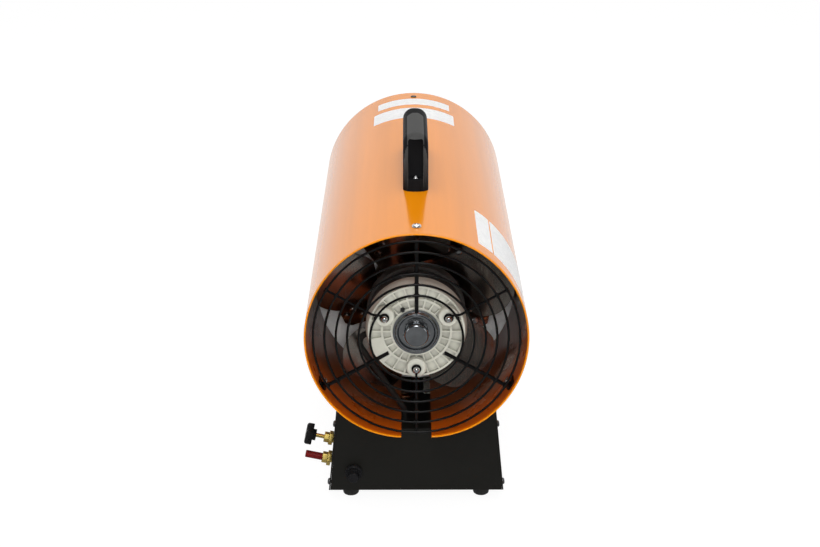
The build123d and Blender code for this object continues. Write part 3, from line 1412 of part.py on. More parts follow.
def valve_knob():
    """Lobed hand knob with a short hub."""
    disc_start = knob_start() + KNOB_HUB_LENGTH
    lobe_circle = KNOB_RADIUS - KNOB_LOBE_RADIUS
    disc = Circle(KNOB_RADIUS - KNOB_LOBE_DEPTH)
    for k in range(KNOB_LOBE_COUNT):
        x, y = polar_point(lobe_circle, 360 / KNOB_LOBE_COUNT * k)
        disc += Pos(x, y) * Circle(KNOB_LOBE_RADIUS)
    head = Pos(0, 0, disc_start) * extrude(disc, KNOB_THICKNESS)
    for face in (head.faces().sort_by(Axis.Z)[0], head.faces().sort_by(Axis.Z)[-1]):
        head = fillet(face.edges(), KNOB_ROUNDING)
    hub = round_bar(KNOB_HUB_RADIUS, knob_start(), KNOB_HUB_LENGTH + 0.1)
    bore_end = disc_start + KNOB_THICKNESS - KNOB_FACE
    bore = round_bar(SPINDLE_RADIUS, 0, bore_end)
    return fitting_frame(VALVE_HEIGHT) * (head + hub - bore)


def gas_inlet_fitting():
    """Brass inlet: thread through the panel, hexagon and nipple."""
    flange_end = PANEL_NUT_START + INLET_FLANGE_LENGTH
    hex_end = flange_end + INLET_HEX_LENGTH
    start = -FITTING_BLOCK_GAP - INLET_THREAD_DEPTH + 1
    nipple_end = hex_end + INLET_NIPPLE_LENGTH
    body = round_bar(INLET_THREAD_RADIUS, start, flange_end - start)
    body += hexagon(INLET_HEX_ACROSS, flange_end, INLET_HEX_LENGTH)
    body += round_bar(INLET_NIPPLE_RADIUS, hex_end - 0.1, nipple_end - hex_end + 0.1)
    body -= round_bar(INLET_BORE_RADIUS, start - 1, nipple_end - start + 2)
    return fitting_frame(INLET_HEIGHT) * body


def inlet_locknut():
    """Large hexagonal nut between the inlet and the panel."""
    nut = hexagon(INLET_FLANGE_ACROSS, PANEL_NUT_START, INLET_FLANGE_LENGTH)
    nut -= round_bar(INLET_THREAD_RADIUS + RUNNING_CLEARANCE, 0, 10)
    return fitting_frame(INLET_HEIGHT) * nut


def inlet_cap():
    """Ribbed plastic cap pushed over the nipple for transport."""
    hex_end = PANEL_NUT_START + INLET_FLANGE_LENGTH + INLET_HEX_LENGTH
    start = hex_end + CAP_SLEEVE_CLEARANCE
    cap = round_bar(CAP_SLEEVE_RADIUS, start, CAP_SLEEVE_LENGTH)
    cap = chamfer(cap.edges().group_by(Axis.Z)[-1], 0.4)
    groove = Pos(CAP_SLEEVE_RADIUS + 0.1, 0, start + CAP_SLEEVE_LENGTH / 2)
    groove *= Box(0.7, 0.7, CAP_SLEEVE_LENGTH - 2)
    cap -= [Rot(0, 0, 360 / CAP_SLEEVE_RIBS * k) * groove for k in range(CAP_SLEEVE_RIBS)]
    bore_length = INLET_NIPPLE_LENGTH + 0.6
    cap -= round_bar(INLET_NIPPLE_RADIUS + CAP_SLEEVE_CLEARANCE, start - 1, bore_length + 1)
    return fitting_frame(INLET_HEIGHT) * cap


# -------------------------------------------------------------- piezo igniter

def piezo_frame():
    """The place of the igniter on the base's rear panel, +Z towards the user."""
    return Pos(PIEZO_X, BASE_START_Y, BASE_BOTTOM + PIEZO_HEIGHT) * Rot(90, 0, 0)


def piezo_body():
    """Igniter barrel through the rear panel, open for the button."""
    inner = PIEZO_BUTTON_RADIUS + PIEZO_BUTTON_CLEARANCE
    back = -BASE_SHEET
    neck = round_bar(PIEZO_TUBE_RADIUS, back - 0.1, PIEZO_TUBE_LENGTH - back + 0.1)
    shoulder = round_bar(PIEZO_SHOULDER_RADIUS, back - PIEZO_SHOULDER_LENGTH, PIEZO_SHOULDER_LENGTH)
    barrel = round_bar(PIEZO_BODY_RADIUS, back - PIEZO_BODY_LENGTH, PIEZO_BODY_LENGTH)
    floor = PIEZO_BUTTON_REACH - PIEZO_BUTTON_LENGTH - PIEZO_TRAVEL - PIEZO_BUTTON_CLEARANCE
    cavity = round_bar(inner, floor, PIEZO_TUBE_LENGTH - floor + 1)
    return piezo_frame() * (neck + shoulder + barrel - cavity)


def piezo_collar():
    """Round collar nut outside the panel."""
    collar = round_bar(PIEZO_COLLAR_RADIUS, 0, PIEZO_COLLAR_LENGTH)
    collar = chamfer(collar.edges().group_by(Axis.Z)[-1], 1.0)
    collar -= round_bar(PIEZO_TUBE_RADIUS + RUNNING_CLEARANCE, -1, PIEZO_COLLAR_LENGTH + 2)
    return piezo_frame() * collar


def piezo_button():
    """Push button that strikes the igniter."""
    start = PIEZO_BUTTON_REACH - PIEZO_BUTTON_LENGTH
    button = round_bar(PIEZO_BUTTON_RADIUS, start, PIEZO_BUTTON_LENGTH)
    button = fillet(button.edges().group_by(Axis.Z)[-1], 1.4)
    return piezo_frame() * button


# --------------------------------------------------------- electrical fittings

def switch_frame_place():
    """The switch's place on the right panel."""
    return side_frame(1, SWITCH_Y, SWITCH_HEIGHT)


def switch_body_size():
    """Width and height of the switch's body behind its bezel."""
    width, height = SWITCH_OUTER
    return (width - 2 * SWITCH_LIP, height - 2 * SWITCH_LIP)


def switch_housing():
    """Snap-in switch housing with a bezel outside the panel."""
    width, height = SWITCH_OUTER
    bezel = Pos(0, 0, SWITCH_BEZEL_HEIGHT / 2) * Box(width, height, SWITCH_BEZEL_HEIGHT)
    bezel = chamfer(bezel.faces().sort_by(Axis.Z)[-1].edges(), 0.8)
    body_width, body_height = switch_body_size()
    body = Pos(0, 0, -SWITCH_DEPTH / 2 + 0.05) * Box(body_width, body_height, SWITCH_DEPTH + 0.1)
    floor = -ROCKER_PIVOT_DEPTH - ROCKER_ROOM
    cavity_height = SWITCH_BEZEL_HEIGHT + 1 - floor
    cavity = Pos(0, 0, floor + cavity_height / 2)
    cavity *= Box(body_width - 2 * SWITCH_WALL, body_height - 2 * SWITCH_WALL, cavity_height)
    housing = bezel + body - cavity
    terminal_z = -SWITCH_DEPTH - SWITCH_TERMINAL[2] / 2 + 0.1
    for way in (-1, 0, 1):
        housing += Pos(0, way * SWITCH_TERMINAL_PITCH, terminal_z) * Box(*SWITCH_TERMINAL)
    return switch_frame_place() * housing


def switch_rocker():
    """Rocker that tips about its pivot, resting in the off position."""
    body_width, body_height = switch_body_size()
    width = body_width - 2 * SWITCH_WALL - 2 * ROCKER_GAP
    half = body_height / 2 - SWITCH_WALL - ROCKER_END_GAP
    low_half = half - 1.2
    face = make_face(
        Polyline(
            (-half, SWITCH_BEZEL_HEIGHT + ROCKER_END_HEIGHT),
            (0, SWITCH_BEZEL_HEIGHT + ROCKER_MIDDLE_HEIGHT),
            (half, SWITCH_BEZEL_HEIGHT + ROCKER_END_HEIGHT),
            (low_half, -ROCKER_PIVOT_DEPTH),
            (0, -ROCKER_PIVOT_DEPTH - 1.5),
            (-low_half, -ROCKER_PIVOT_DEPTH),
            close=True,
        )
    )
    rocker = extrude(Plane.YZ * face, width / 2, both=True)
    tip = Pos(0, 0, -ROCKER_PIVOT_DEPTH) * Rot(ROCKER_THROW / 2, 0, 0) * Pos(0, 0, ROCKER_PIVOT_DEPTH)
    return switch_frame_place() * tip * rocker


def cable_gland():
    """Gland body with its dome nut, open for a cable."""
    half = GLAND_HEX_ACROSS / 2
    end = GLAND_HEX_LENGTH + GLAND_DOME_LENGTH
    cap_end = GLAND_HEX_LENGTH + GLAND_CAP_LENGTH
    first_taper, second_taper = GLAND_CAP_TAPER
    dome = turned_up(
        (GLAND_BORE_RADIUS, 0),
        (half, 0),
        (half, cap_end),
        (half - 1, cap_end + first_taper),
        (GLAND_TIP_RADIUS + 1, cap_end + second_taper),
        (GLAND_TIP_RADIUS, end),
        (GLAND_BORE_RADIUS, end),
    )
    body = dome + hexagon(GLAND_HEX_ACROSS, 0, GLAND_HEX_LENGTH)
    body += round_bar(GLAND_THREAD_RADIUS, -BASE_SHEET - GLAND_NUT_LENGTH - 3, GLAND_NUT_LENGTH + 8)
    body -= round_bar(GLAND_BORE_RADIUS, -20, 60)
    return side_frame(1, GLAND_Y, GLAND_HEIGHT) * body


def gland_locknut():
    """Nut on the gland's thread inside the panel."""
    nut = hexagon(GLAND_HEX_ACROSS, -BASE_SHEET - GLAND_NUT_LENGTH, GLAND_NUT_LENGTH)
    nut -= Cylinder(GLAND_THREAD_RADIUS + RUNNING_CLEARANCE, 30)
    return side_frame(1, GLAND_Y, GLAND_HEIGHT) * nut


def terminal_block():
    """Screw terminal block on the base's floor."""
    width, length, height = TERMINAL_BLOCK
    block = Box(width, length, height)
    bore_width, bore_height = TERMINAL_BORE
    for k in range(TERMINAL_COUNT):
        y = length * ((k + 1) / (TERMINAL_COUNT + 1) - 0.5)
        block -= round_bar(TERMINAL_SCREW_RADIUS, height / 2 - TERMINAL_SCREW_DEPTH, height).moved(
            Pos(0, y, 0)
        )
        block -= Pos(0, y, 0) * Box(width + 2, bore_width, bore_height)
    z = BASE_BOTTOM + BASE_SHEET + height / 2
    return Pos(TERMINAL_BLOCK_X, GLAND_Y, z) * block


# ----------------------------------------------------------------- motor lead

def motor_lead():
    """Sleeved lead from the motor's shield down through the slot into the base."""
    start_x, start_z = polar_point(STATOR_RADIUS + SHEET_CLEARANCE, LEAD_START_CLOCK)
    bow_x, bow_z = polar_point(LEAD_REACH, LEAD_START_CLOCK)
    slot_x = -SLOT_WIDTH / 2 + LEAD_RADIUS + LEAD_SLOT_GAP
    above_slot, below_slot = LEAD_SLOT_RUN
    floor_z = BASE_BOTTOM + BASE_SHEET + LEAD_FLOOR_GAP
    block_y = GLAND_Y - TERMINAL_BLOCK[1] / 2
    path = [
        (start_x, LEAD_START_Y, start_z),
        (bow_x, LEAD_START_Y, bow_z),
        (slot_x, LEAD_START_Y, above_slot - SHELL_RADIUS),
        (slot_x, LEAD_START_Y, -below_slot - SHELL_RADIUS),
        (TERMINAL_BLOCK_X, LEAD_START_Y + LEAD_BASE_RUN, floor_z),
        (TERMINAL_BLOCK_X, block_y, floor_z),
    ]
    return bent_wire(path, LEAD_RADIUS, LEAD_BEND)


NODES = {
    "outer_shell": outer_shell,
    "rear_guard": rear_guard,
    "guard_screws": guard_screws,
    "guard_nuts": guard_nuts,
    "motor_rear_shield": motor_rear_shield,
    "motor_front_shield": motor_front_shield,
    "stator_stack": stator_stack,
    "stator_windings": stator_windings,
    "bearing_cap": bearing_cap,
    "motor_bolts": motor_bolts,
    "motor_nuts": motor_nuts,
    "rear_bearing": rear_bearing,
    "front_bearing": front_bearing,
    "motor_shaft": motor_shaft,
    "rotor_core": rotor_core,
    "fan_hub": fan_hub,
    "fan_blades": fan_blades,
    "fan_rivets": fan_rivets,
    "fan_nut": fan_nut,
    "baffle_plate": baffle_plate,
    "burner_tube": burner_tube,
    "burner_plate": burner_plate,
    "burner_cone": burner_cone,
    "burner_nozzle": burner_nozzle,
    "ignition_electrode": ignition_electrode,
    "thermocouple": thermocouple,
    "gas_pipe": gas_pipe,
    "tube_brackets": tube_brackets,
    "bracket_screws": bracket_screws,
    "burner_tube_screws": burner_tube_screws,
    "overheat_thermostat": overheat_thermostat,
    "handle": handle,
    "handle_screws": handle_screws,
    "base_chassis": base_chassis,
    "left_side_panel": left_side_panel,
    "right_side_panel": right_side_panel,
    "panel_screws": panel_screws,
    "saddle_screws": saddle_screws,
    "rubber_feet": rubber_feet,
    "foot_screws": foot_screws,
    "foot_nuts": foot_nuts,
    "gas_valve_body": gas_valve_body,
    "valve_panel_nut": valve_panel_nut,
    "valve_gland_nut": valve_gland_nut,
    "valve_spindle": valve_spindle,
    "valve_knob": valve_knob,
    "gas_inlet_fitting": gas_inlet_fitting,
    "inlet_locknut": inlet_locknut,
    "inlet_cap": inlet_cap,
    "piezo_body": piezo_body,
    "piezo_collar": piezo_collar,
    "piezo_button": piezo_button,
    "switch_housing": switch_housing,
    "switch_rocker": switch_rocker,
    "cable_gland": cable_gland,
    "gland_locknut": gland_locknut,
    "terminal_block": terminal_block,
    "motor_lead": motor_lead,
}


def standing(shape):
    """A node's solids, moved so that the heater stands on Z = 0."""
    solids = shape if isinstance(shape, list) else [shape]
    place = Pos(0, -SHELL_LENGTH / 2, AXIS_HEIGHT)
    placed = [place * solid for solid in solids]
    if len(placed) == 1:
        return placed[0]
    return Compound(children=placed)


os.makedirs("parts", exist_ok=True)
for name, make in NODES.items():
    export_step(standing(make()), f"parts/{name}.step")
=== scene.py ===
import json
from math import asin, cos, degrees, pi, radians, sin, tan

import bmesh
import bpy
from mathutils import Matrix, Vector


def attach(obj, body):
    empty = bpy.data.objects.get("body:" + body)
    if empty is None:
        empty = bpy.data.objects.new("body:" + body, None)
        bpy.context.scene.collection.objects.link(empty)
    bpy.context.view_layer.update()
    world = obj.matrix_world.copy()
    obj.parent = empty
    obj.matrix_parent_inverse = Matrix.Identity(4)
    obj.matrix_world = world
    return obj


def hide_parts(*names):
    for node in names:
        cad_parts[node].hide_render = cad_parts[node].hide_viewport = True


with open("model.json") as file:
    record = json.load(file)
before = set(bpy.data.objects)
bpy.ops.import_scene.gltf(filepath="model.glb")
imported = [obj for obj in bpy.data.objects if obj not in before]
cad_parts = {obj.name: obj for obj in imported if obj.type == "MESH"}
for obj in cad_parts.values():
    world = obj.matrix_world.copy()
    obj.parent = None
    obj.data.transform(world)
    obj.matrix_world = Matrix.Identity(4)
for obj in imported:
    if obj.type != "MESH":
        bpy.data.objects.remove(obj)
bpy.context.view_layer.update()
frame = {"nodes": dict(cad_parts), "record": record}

bl_info = {
    "name": "Forced Air Heater Looks",
    "version": (1, 0, 0),
    "blender": (4, 5, 0),
    "location": "View3D > Sidebar > Heater",
    "description": "Dresses the heater's frame in paint, metal, rubber and paper",
    "category": "Object",
}

MM = 0.001

# The heater's frame in metres: the tube's axis lies this high, and its inlet rim this far back
AXIS_HEIGHT = 0.160
INLET_Y = -0.231

# From here on in millimetres from the inlet rim's centre and in degrees, with clock angles from the top
THIRDS = (0, 120, 240)
SIXTHS_BETWEEN = (60, 180, 300)

# Tube: round from foot to foot, then two feet on a smaller arc down to the slot
TUBE = 94.0
TUBE_LENGTH = 462.0
TUBE_BOTTOM = 90.3
TUBE_STEPS = 138
FOOT_CLOCK = 138.0
FOOT_STEPS = 22
HALF_SLOT = 13.0
INSIDE_FINISH_LENGTH = 460.4

# Base: its underside, and its side panels that lean in as they rise
BASE_BELOW_AXIS = 150.0
BASE_HALF_WIDTH = 76.5
BASE_FLARE = 5.8

# Inlet guard: ring wires lie at one depth, spokes and struts are welded a little into them
RING_Y = 3.2
GUARD_RINGS = [38.8 + 9.54 * step for step in range(6)]
WELD_SINK = 0.3
WELD_Y = 3.4
WELD_STEP = 1.1
ARM_END = GUARD_RINGS[-1]

# Spokes: clock angles with the radius that each starts at, and the tab that it carries at the tube
SPOKE_STARTS = {0: 22.5, 120: 27.0, 240: 27.0}
SPOKE_WIRE = 1.7
SPOKE_REACH = 90.1
SPOKE_TURN_Y = 9.5
SPOKE_END_Y = 12.4
TAB_SIZE = (10, 16, 1.5)
TAB_MIDDLE = (0, 16.5, 92.25)
TAB_CORNER = 3.0

# Struts: their bends lie this far out from the eyes, which sit on the motor's bolts
STRUT_WIRE = 1.05
STRUT_BENDS = (7.6, 2.5)
EYE_Y = 10.95
EYE_RADIUS = 3.2
BOLT_CIRCLE = 31.0

# Carrying handle: its front leg leans back, and the grip's strip ends short of the far bend
HANDLE_START = 111.0
HANDLE_LEAN = 11.0
GRIP_RISE = 38.0
STRIP_END = 206.0
RAIL_DEPTH = 7.0
RAIL_RISE = 10.5

# Paper labels: gap to the tube, corner radius, and clock angle that one flat stretch spans, roughly
LABEL_GAP = 0.02
LABEL_CORNER = 1.2
LABEL_STEP = 1.5

# Each label's name, first and last clock angle, start and end along the tube, and plain margin
LABELS = (
    ("rear_top_label", -23.5, 23.5, 412, 436, 1.5),
    ("front_top_label", -26, 26, 360, 398, 1.5),
    ("side_label_upper", 33, 42.2, 20, 106, 1.2),
    ("side_label_lower", 43.2, 74, 20, 106, 1.2),
)

# Seats of the screws: how far along the tube or panel, with clock angles and heights where they differ
GUARD_SCREWS_Y = 17.0
BRACKET_SCREWS = [(clock, 444.0) for clock in THIRDS] + [(clock, 190.0) for clock in (108, 252)]
HANDLE_SCREWS_Y = (119.8, 241.2)
HANDLE_SEAT = 10.0
PANEL_SCREWS_Y = (25.0, 311.0)
PANEL_SCREW_HEIGHTS = (5.0, 61.0)

# Screws of a frame node: head radius, head height and reach below the head
SCREWS = {
    "guard_screws": (4.0, 2.6, 6.5),
    "bracket_screws": (3.1, 1.4, 6.0),
    "handle_screws": (3.1, 1.4, 14.8),
    "panel_screws": (2.9, 1.8, 7.4),
}

# Dome nuts and their bolts
NUT_RADIUS = 2.95
NUT_HEIGHT = 4.5
NUT_SEAT_Y = 9.9
BOLT_TIP_Y = 7.2
BOLT_DRAWN_BACK = 2.6
THREAD_RADIUS = 2.03

# Plug in the motor's rear shield
PLUG_PLACE = (-11.6, 18.2, 20.1)
PLUG_RADIUS = 1.9
PLUG_LENGTH = 3.5

# Frame nodes that get softened edges, with the width in millimetres; nought only smooths them
SOFT_EDGES = {
    "motor_rear_shield": 0.35,
    "motor_front_shield": 0.35,
    "stator_stack": 0,
    "stator_windings": 0,
    "bearing_cap": 0.2,
    "motor_shaft": 0.2,
    "fan_hub": 0.35,
    "fan_blades": 0.25,
    "fan_rivets": 0.2,
    "fan_nut": 0.25,
    "baffle_plate": 0.3,
    "burner_tube": 0,
    "burner_plate": 0.2,
    "burner_cone": 0.2,
    "burner_nozzle": 0.2,
    "gas_pipe": 0,
    "tube_brackets": 0.2,
    "burner_tube_screws": 0,
    "overheat_thermostat": 0.3,
    "base_chassis": 0.35,
    "left_side_panel": 0.35,
    "right_side_panel": 0.35,
    "rubber_feet": 0.4,
    "gas_valve_body": 0.2,
    "valve_panel_nut": 0.25,
    "valve_gland_nut": 0.25,
    "valve_spindle": 0.15,
    "valve_knob": 0,
    "gas_inlet_fitting": 0.25,
    "inlet_locknut": 0.25,
    "inlet_cap": 0.15,
    "piezo_body": 0.3,
    "piezo_collar": 0.3,
    "piezo_button": 0.3,
    "switch_housing": 0.3,
    "switch_rocker": 0.3,
    "cable_gland": 0.3,
    "gland_locknut": 0.25,
    "terminal_block": 0.3,
}

# Frame nodes whose finish isn't the one of their material slot
SPECIAL_FINISHES = {
    # The front shield's casting is coloured nearly black to paint the shade it lies in inside the tube
    "motor_front_shield": "shade_darkened_casting",
    "burner_tube": "burner_steel",
    "burner_plate": "burner_steel",
    "burner_cone": "burner_steel",
}

# Floor: radius in metres, strength of its own light where it is seen, and that light's share there
FLOOR_RADIUS = 30
FLOOR_WHITE = 1.09
FLOOR_OWN_LIGHT = 0.85

# Lamps in metres and watts: name, place, target, width, power
LAMPS = (
    ("overhead_softbox", (0.0, 0.1, 1.9), (0, 0, 0.15), 1.6, 16),
    ("front_fill", (0.1, -1.9, 0.95), (0, -0.2, 0.16), 0.5, 15.0),
    ("front_highlight", (0.0, -1.1, 1.75), (0, -0.2, 0.16), 0.45, 3.0),
    ("metal_highlight", (0.0, -1.55, 1.45), (0, -0.2, 0.16), 0.9, 9.0),
    ("left_softbox", (-1.6, -1.0, 0.7), (0, -0.1, 0.15), 0.8, 2.2),
    ("right_softbox", (1.6, -1.0, 0.7), (0, -0.1, 0.15), 0.8, 2.2),
)

# Camera: place in metres, tilt down and turn in degrees, focal length on a 36 mm sensor
CAMERA_PLACE = (-0.0101, -1.4362, 0.6771)
CAMERA_TILT = 20.787
CAMERA_TURN = -0.22
CAMERA_LENS = 69.16


# ------------------------------------------------------------------ settings

def colour(name, description, default):
    """A colour setting without alpha."""
    return bpy.props.FloatVectorProperty(
        name=name, description=description, default=default, size=3, subtype="COLOR", min=0, max=1
    )


def length(name, description, default):
    """A length setting in metres."""
    return bpy.props.FloatProperty(
        name=name, description=description, default=default, min=0, unit="LENGTH", precision=5
    )


class HeaterColours(bpy.types.PropertyGroup):
    """Colours of the heater's paints, metals and plastics."""

    shell: colour("Shell paint", "Gloss paint of the tube", (0.85, 0.268, 0.002))
    rim: colour("Inlet rim", "Full paint just inside the inlet rim", (0.78, 0.13, 0.002))
    # The inside colour is near-black orange to paint the shade deep in the tube; the rim colour is the
    # paint's own
    inside: colour("Tube inside", "Thin paint of the tube's inner face", (0.17, 0.040, 0.006))
    base: colour("Base paint", "Textured paint of the base", (0.007, 0.0067, 0.0052))
    wire: colour("Guard paint", "Gloss paint of the inlet guard", (0.004, 0.004, 0.004))
    casting: colour("Motor casting", "Bare casting of the motor's rear shield", (0.67, 0.66, 0.57))
    cap: colour("Bearing cap", "Plated cap over the bearing", (0.33, 0.345, 0.36))
    fan: colour("Fan sheet", "Polished sheet of the fan", (0.40, 0.36, 0.32))
    zinc: colour("Zinc", "Zinc plated screws, nuts and rivets", (0.66, 0.67, 0.67))
    galvanised: colour("Galvanised sheet", "Baffle plate and brackets", (0.80, 0.81, 0.80))
    heatproof: colour("Burner steel", "Steel of the combustion tube, plate and cone", (0.45, 0.44, 0.42))
    brass: colour("Brass", "Gas valve and fittings", (0.52, 0.39, 0.11))
    copper: colour("Copper", "Gas pipe", (0.78, 0.36, 0.20))
    plastic: colour("Black plastic", "Handle, knob, igniter, switch and gland", (0.012, 0.012, 0.013))
    # The grip colour is lighter than the plastic: partly grain, partly painted sheen on upward and forward
    # faces
    grip: colour("Grip", "Grained strip and rails of the handle", (0.055, 0.055, 0.054))
    rubber: colour("Rubber", "Feet and motor lead", (0.012, 0.012, 0.011))
    cap_red: colour("Transport cap", "Soft plastic cap on the gas inlet", (0.16, 0.008, 0.008))
    paper: colour("Label paper", "Blank labels on the tube", (0.93, 0.93, 0.925))


class HeaterSizes(bpy.types.PropertyGroup):
    """Sizes of the pieces that are modelled here."""

    sheet: length("Tube sheet", "Thickness of the tube's sheet", 0.0008)
    hem: length("Hem", "Thickness of the rolled hem at the tube's ends", 0.0016)
    hem_depth: length("Hem depth", "How far the hem reaches along the tube", 0.005)
    label: length("Label", "Thickness of paper and glue together", 0.00012)
    # Depth over which the inside fades from the rim's colour to its painted shade
    painted_shade_depth: length("Overspray", "Depth to which the full paint reaches into the tube", 0.060)
    grip_strip: length("Grip strip", "Width of the grained strip along the grip", 0.0150)
    strip_corner: length("Strip corner", "Cut-off corners at the grip strip's far end", 0.0050)
    ring_wire: length("Ring wire", "Radius of the guard's ring wire", 0.0010)


class HeaterStage(bpy.types.PropertyGroup):
    """Floor and light."""

    floor: colour("Floor", "Pale studio floor", (0.86, 0.86, 0.86))
    lamp: bpy.props.FloatProperty(
        name="Lamp level", description="Strength of the softboxes", default=1.0, min=0
    )


def colours():
    """The scene's colour settings."""
    return bpy.context.scene.heater_colours


def sizes():
    """The scene's size settings."""
    return bpy.context.scene.heater_sizes


# ----------------------------------------------------------------- materials

class Tree:
    """A node tree, with short calls that the finishes, the floor and the world share."""

    def __init__(self, tree):
        self.tree = tree

    def add(self, kind, **values):
        """A new node with its settings."""
        node = self.tree.nodes.new(kind)
        for key, value in values.items():
            setattr(node, key, value)
        return node

    def feed(self, socket, value):
        """Gives a socket a number or a colour, or links it to another socket."""
        if hasattr(value, "node"):
            self.tree.links.new(value, socket)
        elif hasattr(value, "__len__"):
            socket.default_value = (*value[:3], 1)
        else:
            socket.default_value = value

    def along_y(self, place):
        """The part of a place along the tube."""
        node = self.add("ShaderNodeSeparateXYZ")
        self.feed(node.inputs["Vector"], place)
        return node.outputs["Y"]

    def ranged(self, value, low, high, start=0.3, end=0.7, curve="LINEAR"):
        """A value stretched from one range to another."""
        node = self.add("ShaderNodeMapRange", interpolation_type=curve)
        node.inputs["From Min"].default_value = start
        node.inputs["From Max"].default_value = end
        node.inputs["To Min"].default_value = low
        node.inputs["To Max"].default_value = high
        self.feed(node.inputs["Value"], value)
        return node.outputs["Result"]

    def worked(self, operation, first, second):
        """Two numbers worked into one."""
        node = self.add("ShaderNodeMath", operation=operation)
        self.feed(node.inputs[0], first)
        self.feed(node.inputs[1], second)
        return node.outputs[0]

    def between(self, factor, first, second):
        """Two numbers mixed by a value."""
        node = self.add("ShaderNodeMix")
        self.feed(node.inputs["Factor"], factor)
        self.feed(node.inputs["A"], first)
        self.feed(node.inputs["B"], second)
        return node.outputs["Result"]

    def mixed(self, factor, first, second):
        """Two colours mixed by a value."""
        node = self.add("ShaderNodeMix", data_type="RGBA")
        self.feed(node.inputs["Factor"], factor)
        sockets = [socket for socket in node.inputs if socket.type == "RGBA"]
        for socket, value in zip(sockets, (first, second)):
            self.feed(socket, value)
        return [socket for socket in node.outputs if socket.type == "RGBA"][0]

    def mottled(self, pattern, tint, dark, light):
        """A colour that a pattern varies from a darker to a lighter shade."""
        return self.mixed(self.ranged(pattern, 0, 1), shade(tint, dark), shade(tint, light))


class Finish(Tree):
    """A new material, patterned on the object's own coordinates."""

    def __init__(self, name):
        self.material = bpy.data.materials.new(name)
        self.material.use_nodes = True
        super().__init__(self.material.node_tree)
        self.shader = self.tree.nodes["Principled BSDF"]
        self.place = self.add("ShaderNodeTexCoord").outputs["Object"]

    def stretched(self, scale):
        """Object coordinates at a scale of its own along each axis."""
        node = self.add("ShaderNodeMapping")
        node.inputs["Scale"].default_value = scale
        self.feed(node.inputs["Vector"], self.place)
        return node.outputs["Vector"]

    def noise(self, scale, detail=4.0, rough=0.55, where=None):
        """Soft clouds or fine grain."""
        node = self.add("ShaderNodeTexNoise")
        node.inputs["Scale"].default_value = scale
        node.inputs["Detail"].default_value = detail
        node.inputs["Roughness"].default_value = rough
        self.feed(node.inputs["Vector"], where or self.place)
        return node.outputs["Fac"]

    def cells(self, scale, feature="F1"):
        """Outputs of a pattern of pebbles."""
        node = self.add("ShaderNodeTexVoronoi", feature=feature)
        node.inputs["Scale"].default_value = scale
        self.feed(node.inputs["Vector"], self.place)
        return node.outputs

    def waves(self, scale, **values):
        """Even bands or rings."""
        node = self.add("ShaderNodeTexWave", **values)
        node.inputs["Scale"].default_value = scale
        self.feed(node.inputs["Vector"], self.place)
        return node.outputs["Fac"]

    def bump(self, height, distance, strength=1.0, under=None):
        """Relief of a real depth in metres."""
        node = self.add("ShaderNodeBump")
        node.inputs["Strength"].default_value = strength
        node.inputs["Distance"].default_value = distance
        self.feed(node.inputs["Height"], height)
        if under:
            self.feed(node.inputs["Normal"], under)
        return node.outputs["Normal"]

    def set(self, **values):
        """Sets shader sockets, by value or by link, and gives the finished material."""
        for key, value in values.items():
            self.feed(self.shader.inputs[key.replace("_", " ")], value)
        return self.material


def shade(tint, factor):
    """A colour made lighter or darker."""
    return tuple(min(1, channel * factor) for channel in tint)


def simple_finish(name, tint, roughness, metallic=0.0, grain=900, depth=0.00002, spread=0.12, mottle=60):
    """A plain finish with mottled colour, uneven gloss and fine relief."""
    look = Finish(name)
    cloud = look.noise(mottle, 5)
    grains = look.noise(grain, 3)
    return look.set(
        Base_Color=look.mottled(cloud, tint, 1 - spread, 1 + spread),
        Roughness=look.ranged(grains, roughness * 0.85, roughness * 1.2),
        Metallic=metallic,
        Normal=look.bump(grains, depth),
    )


def gloss_paint():
    """Orange enamel with a faint orange-peel ripple and streaks along the roll."""
    look = Finish("orange_enamel")
    tint = colours().shell
    cloud = look.noise(1.0, 4, 0.6, look.stretched((55, 1.6, 55)))
    peel = look.noise(520, 2, 0.4)
    specks = look.noise(2600, 2)
    ripple = look.bump(peel, 0.00006, 0.35)
    return look.set(
        Base_Color=look.mottled(cloud, tint, 0.93, 1.05),
        Roughness=look.ranged(specks, 0.11, 0.18),
        Normal=look.bump(specks, 0.00001, 0.25, ripple),
        Specular_IOR_Level=0.42,
    )


def textured_paint():
    """Black powder coat with a fine pebbled texture."""
    look = Finish("black_powder_coat")
    tint = colours().base
    pebble = look.cells(1500, "SMOOTH_F1")
    cloud = look.noise(30, 4)
    return look.set(
        Base_Color=look.mottled(cloud, tint, 0.9, 1.12),
        Roughness=look.ranged(cloud, 0.42, 0.52),
        Normal=look.bump(pebble["Distance"], 0.00012, 0.5),
        Specular_IOR_Level=0.25,
    )


def blackened_screw():
    """Blackened steel of the screws, unevenly dark."""
    tint = (0.12, 0.12, 0.125)
    return simple_finish("blackened_screw", tint, 0.22, 0.9, grain=1300, depth=0.00001, spread=0.4)


def wire_paint():
    """Glossy black paint on drawn wire."""
    look = Finish("black_wire_enamel")
    tint = colours().wire
    runs = look.noise(260, 3)
    return look.set(
        Base_Color=look.mottled(runs, tint, 0.8, 1.3),
        Roughness=look.ranged(runs, 0.12, 0.2),
        Normal=look.bump(runs, 0.00003, 0.25),
        Specular_IOR_Level=0.2,
    )


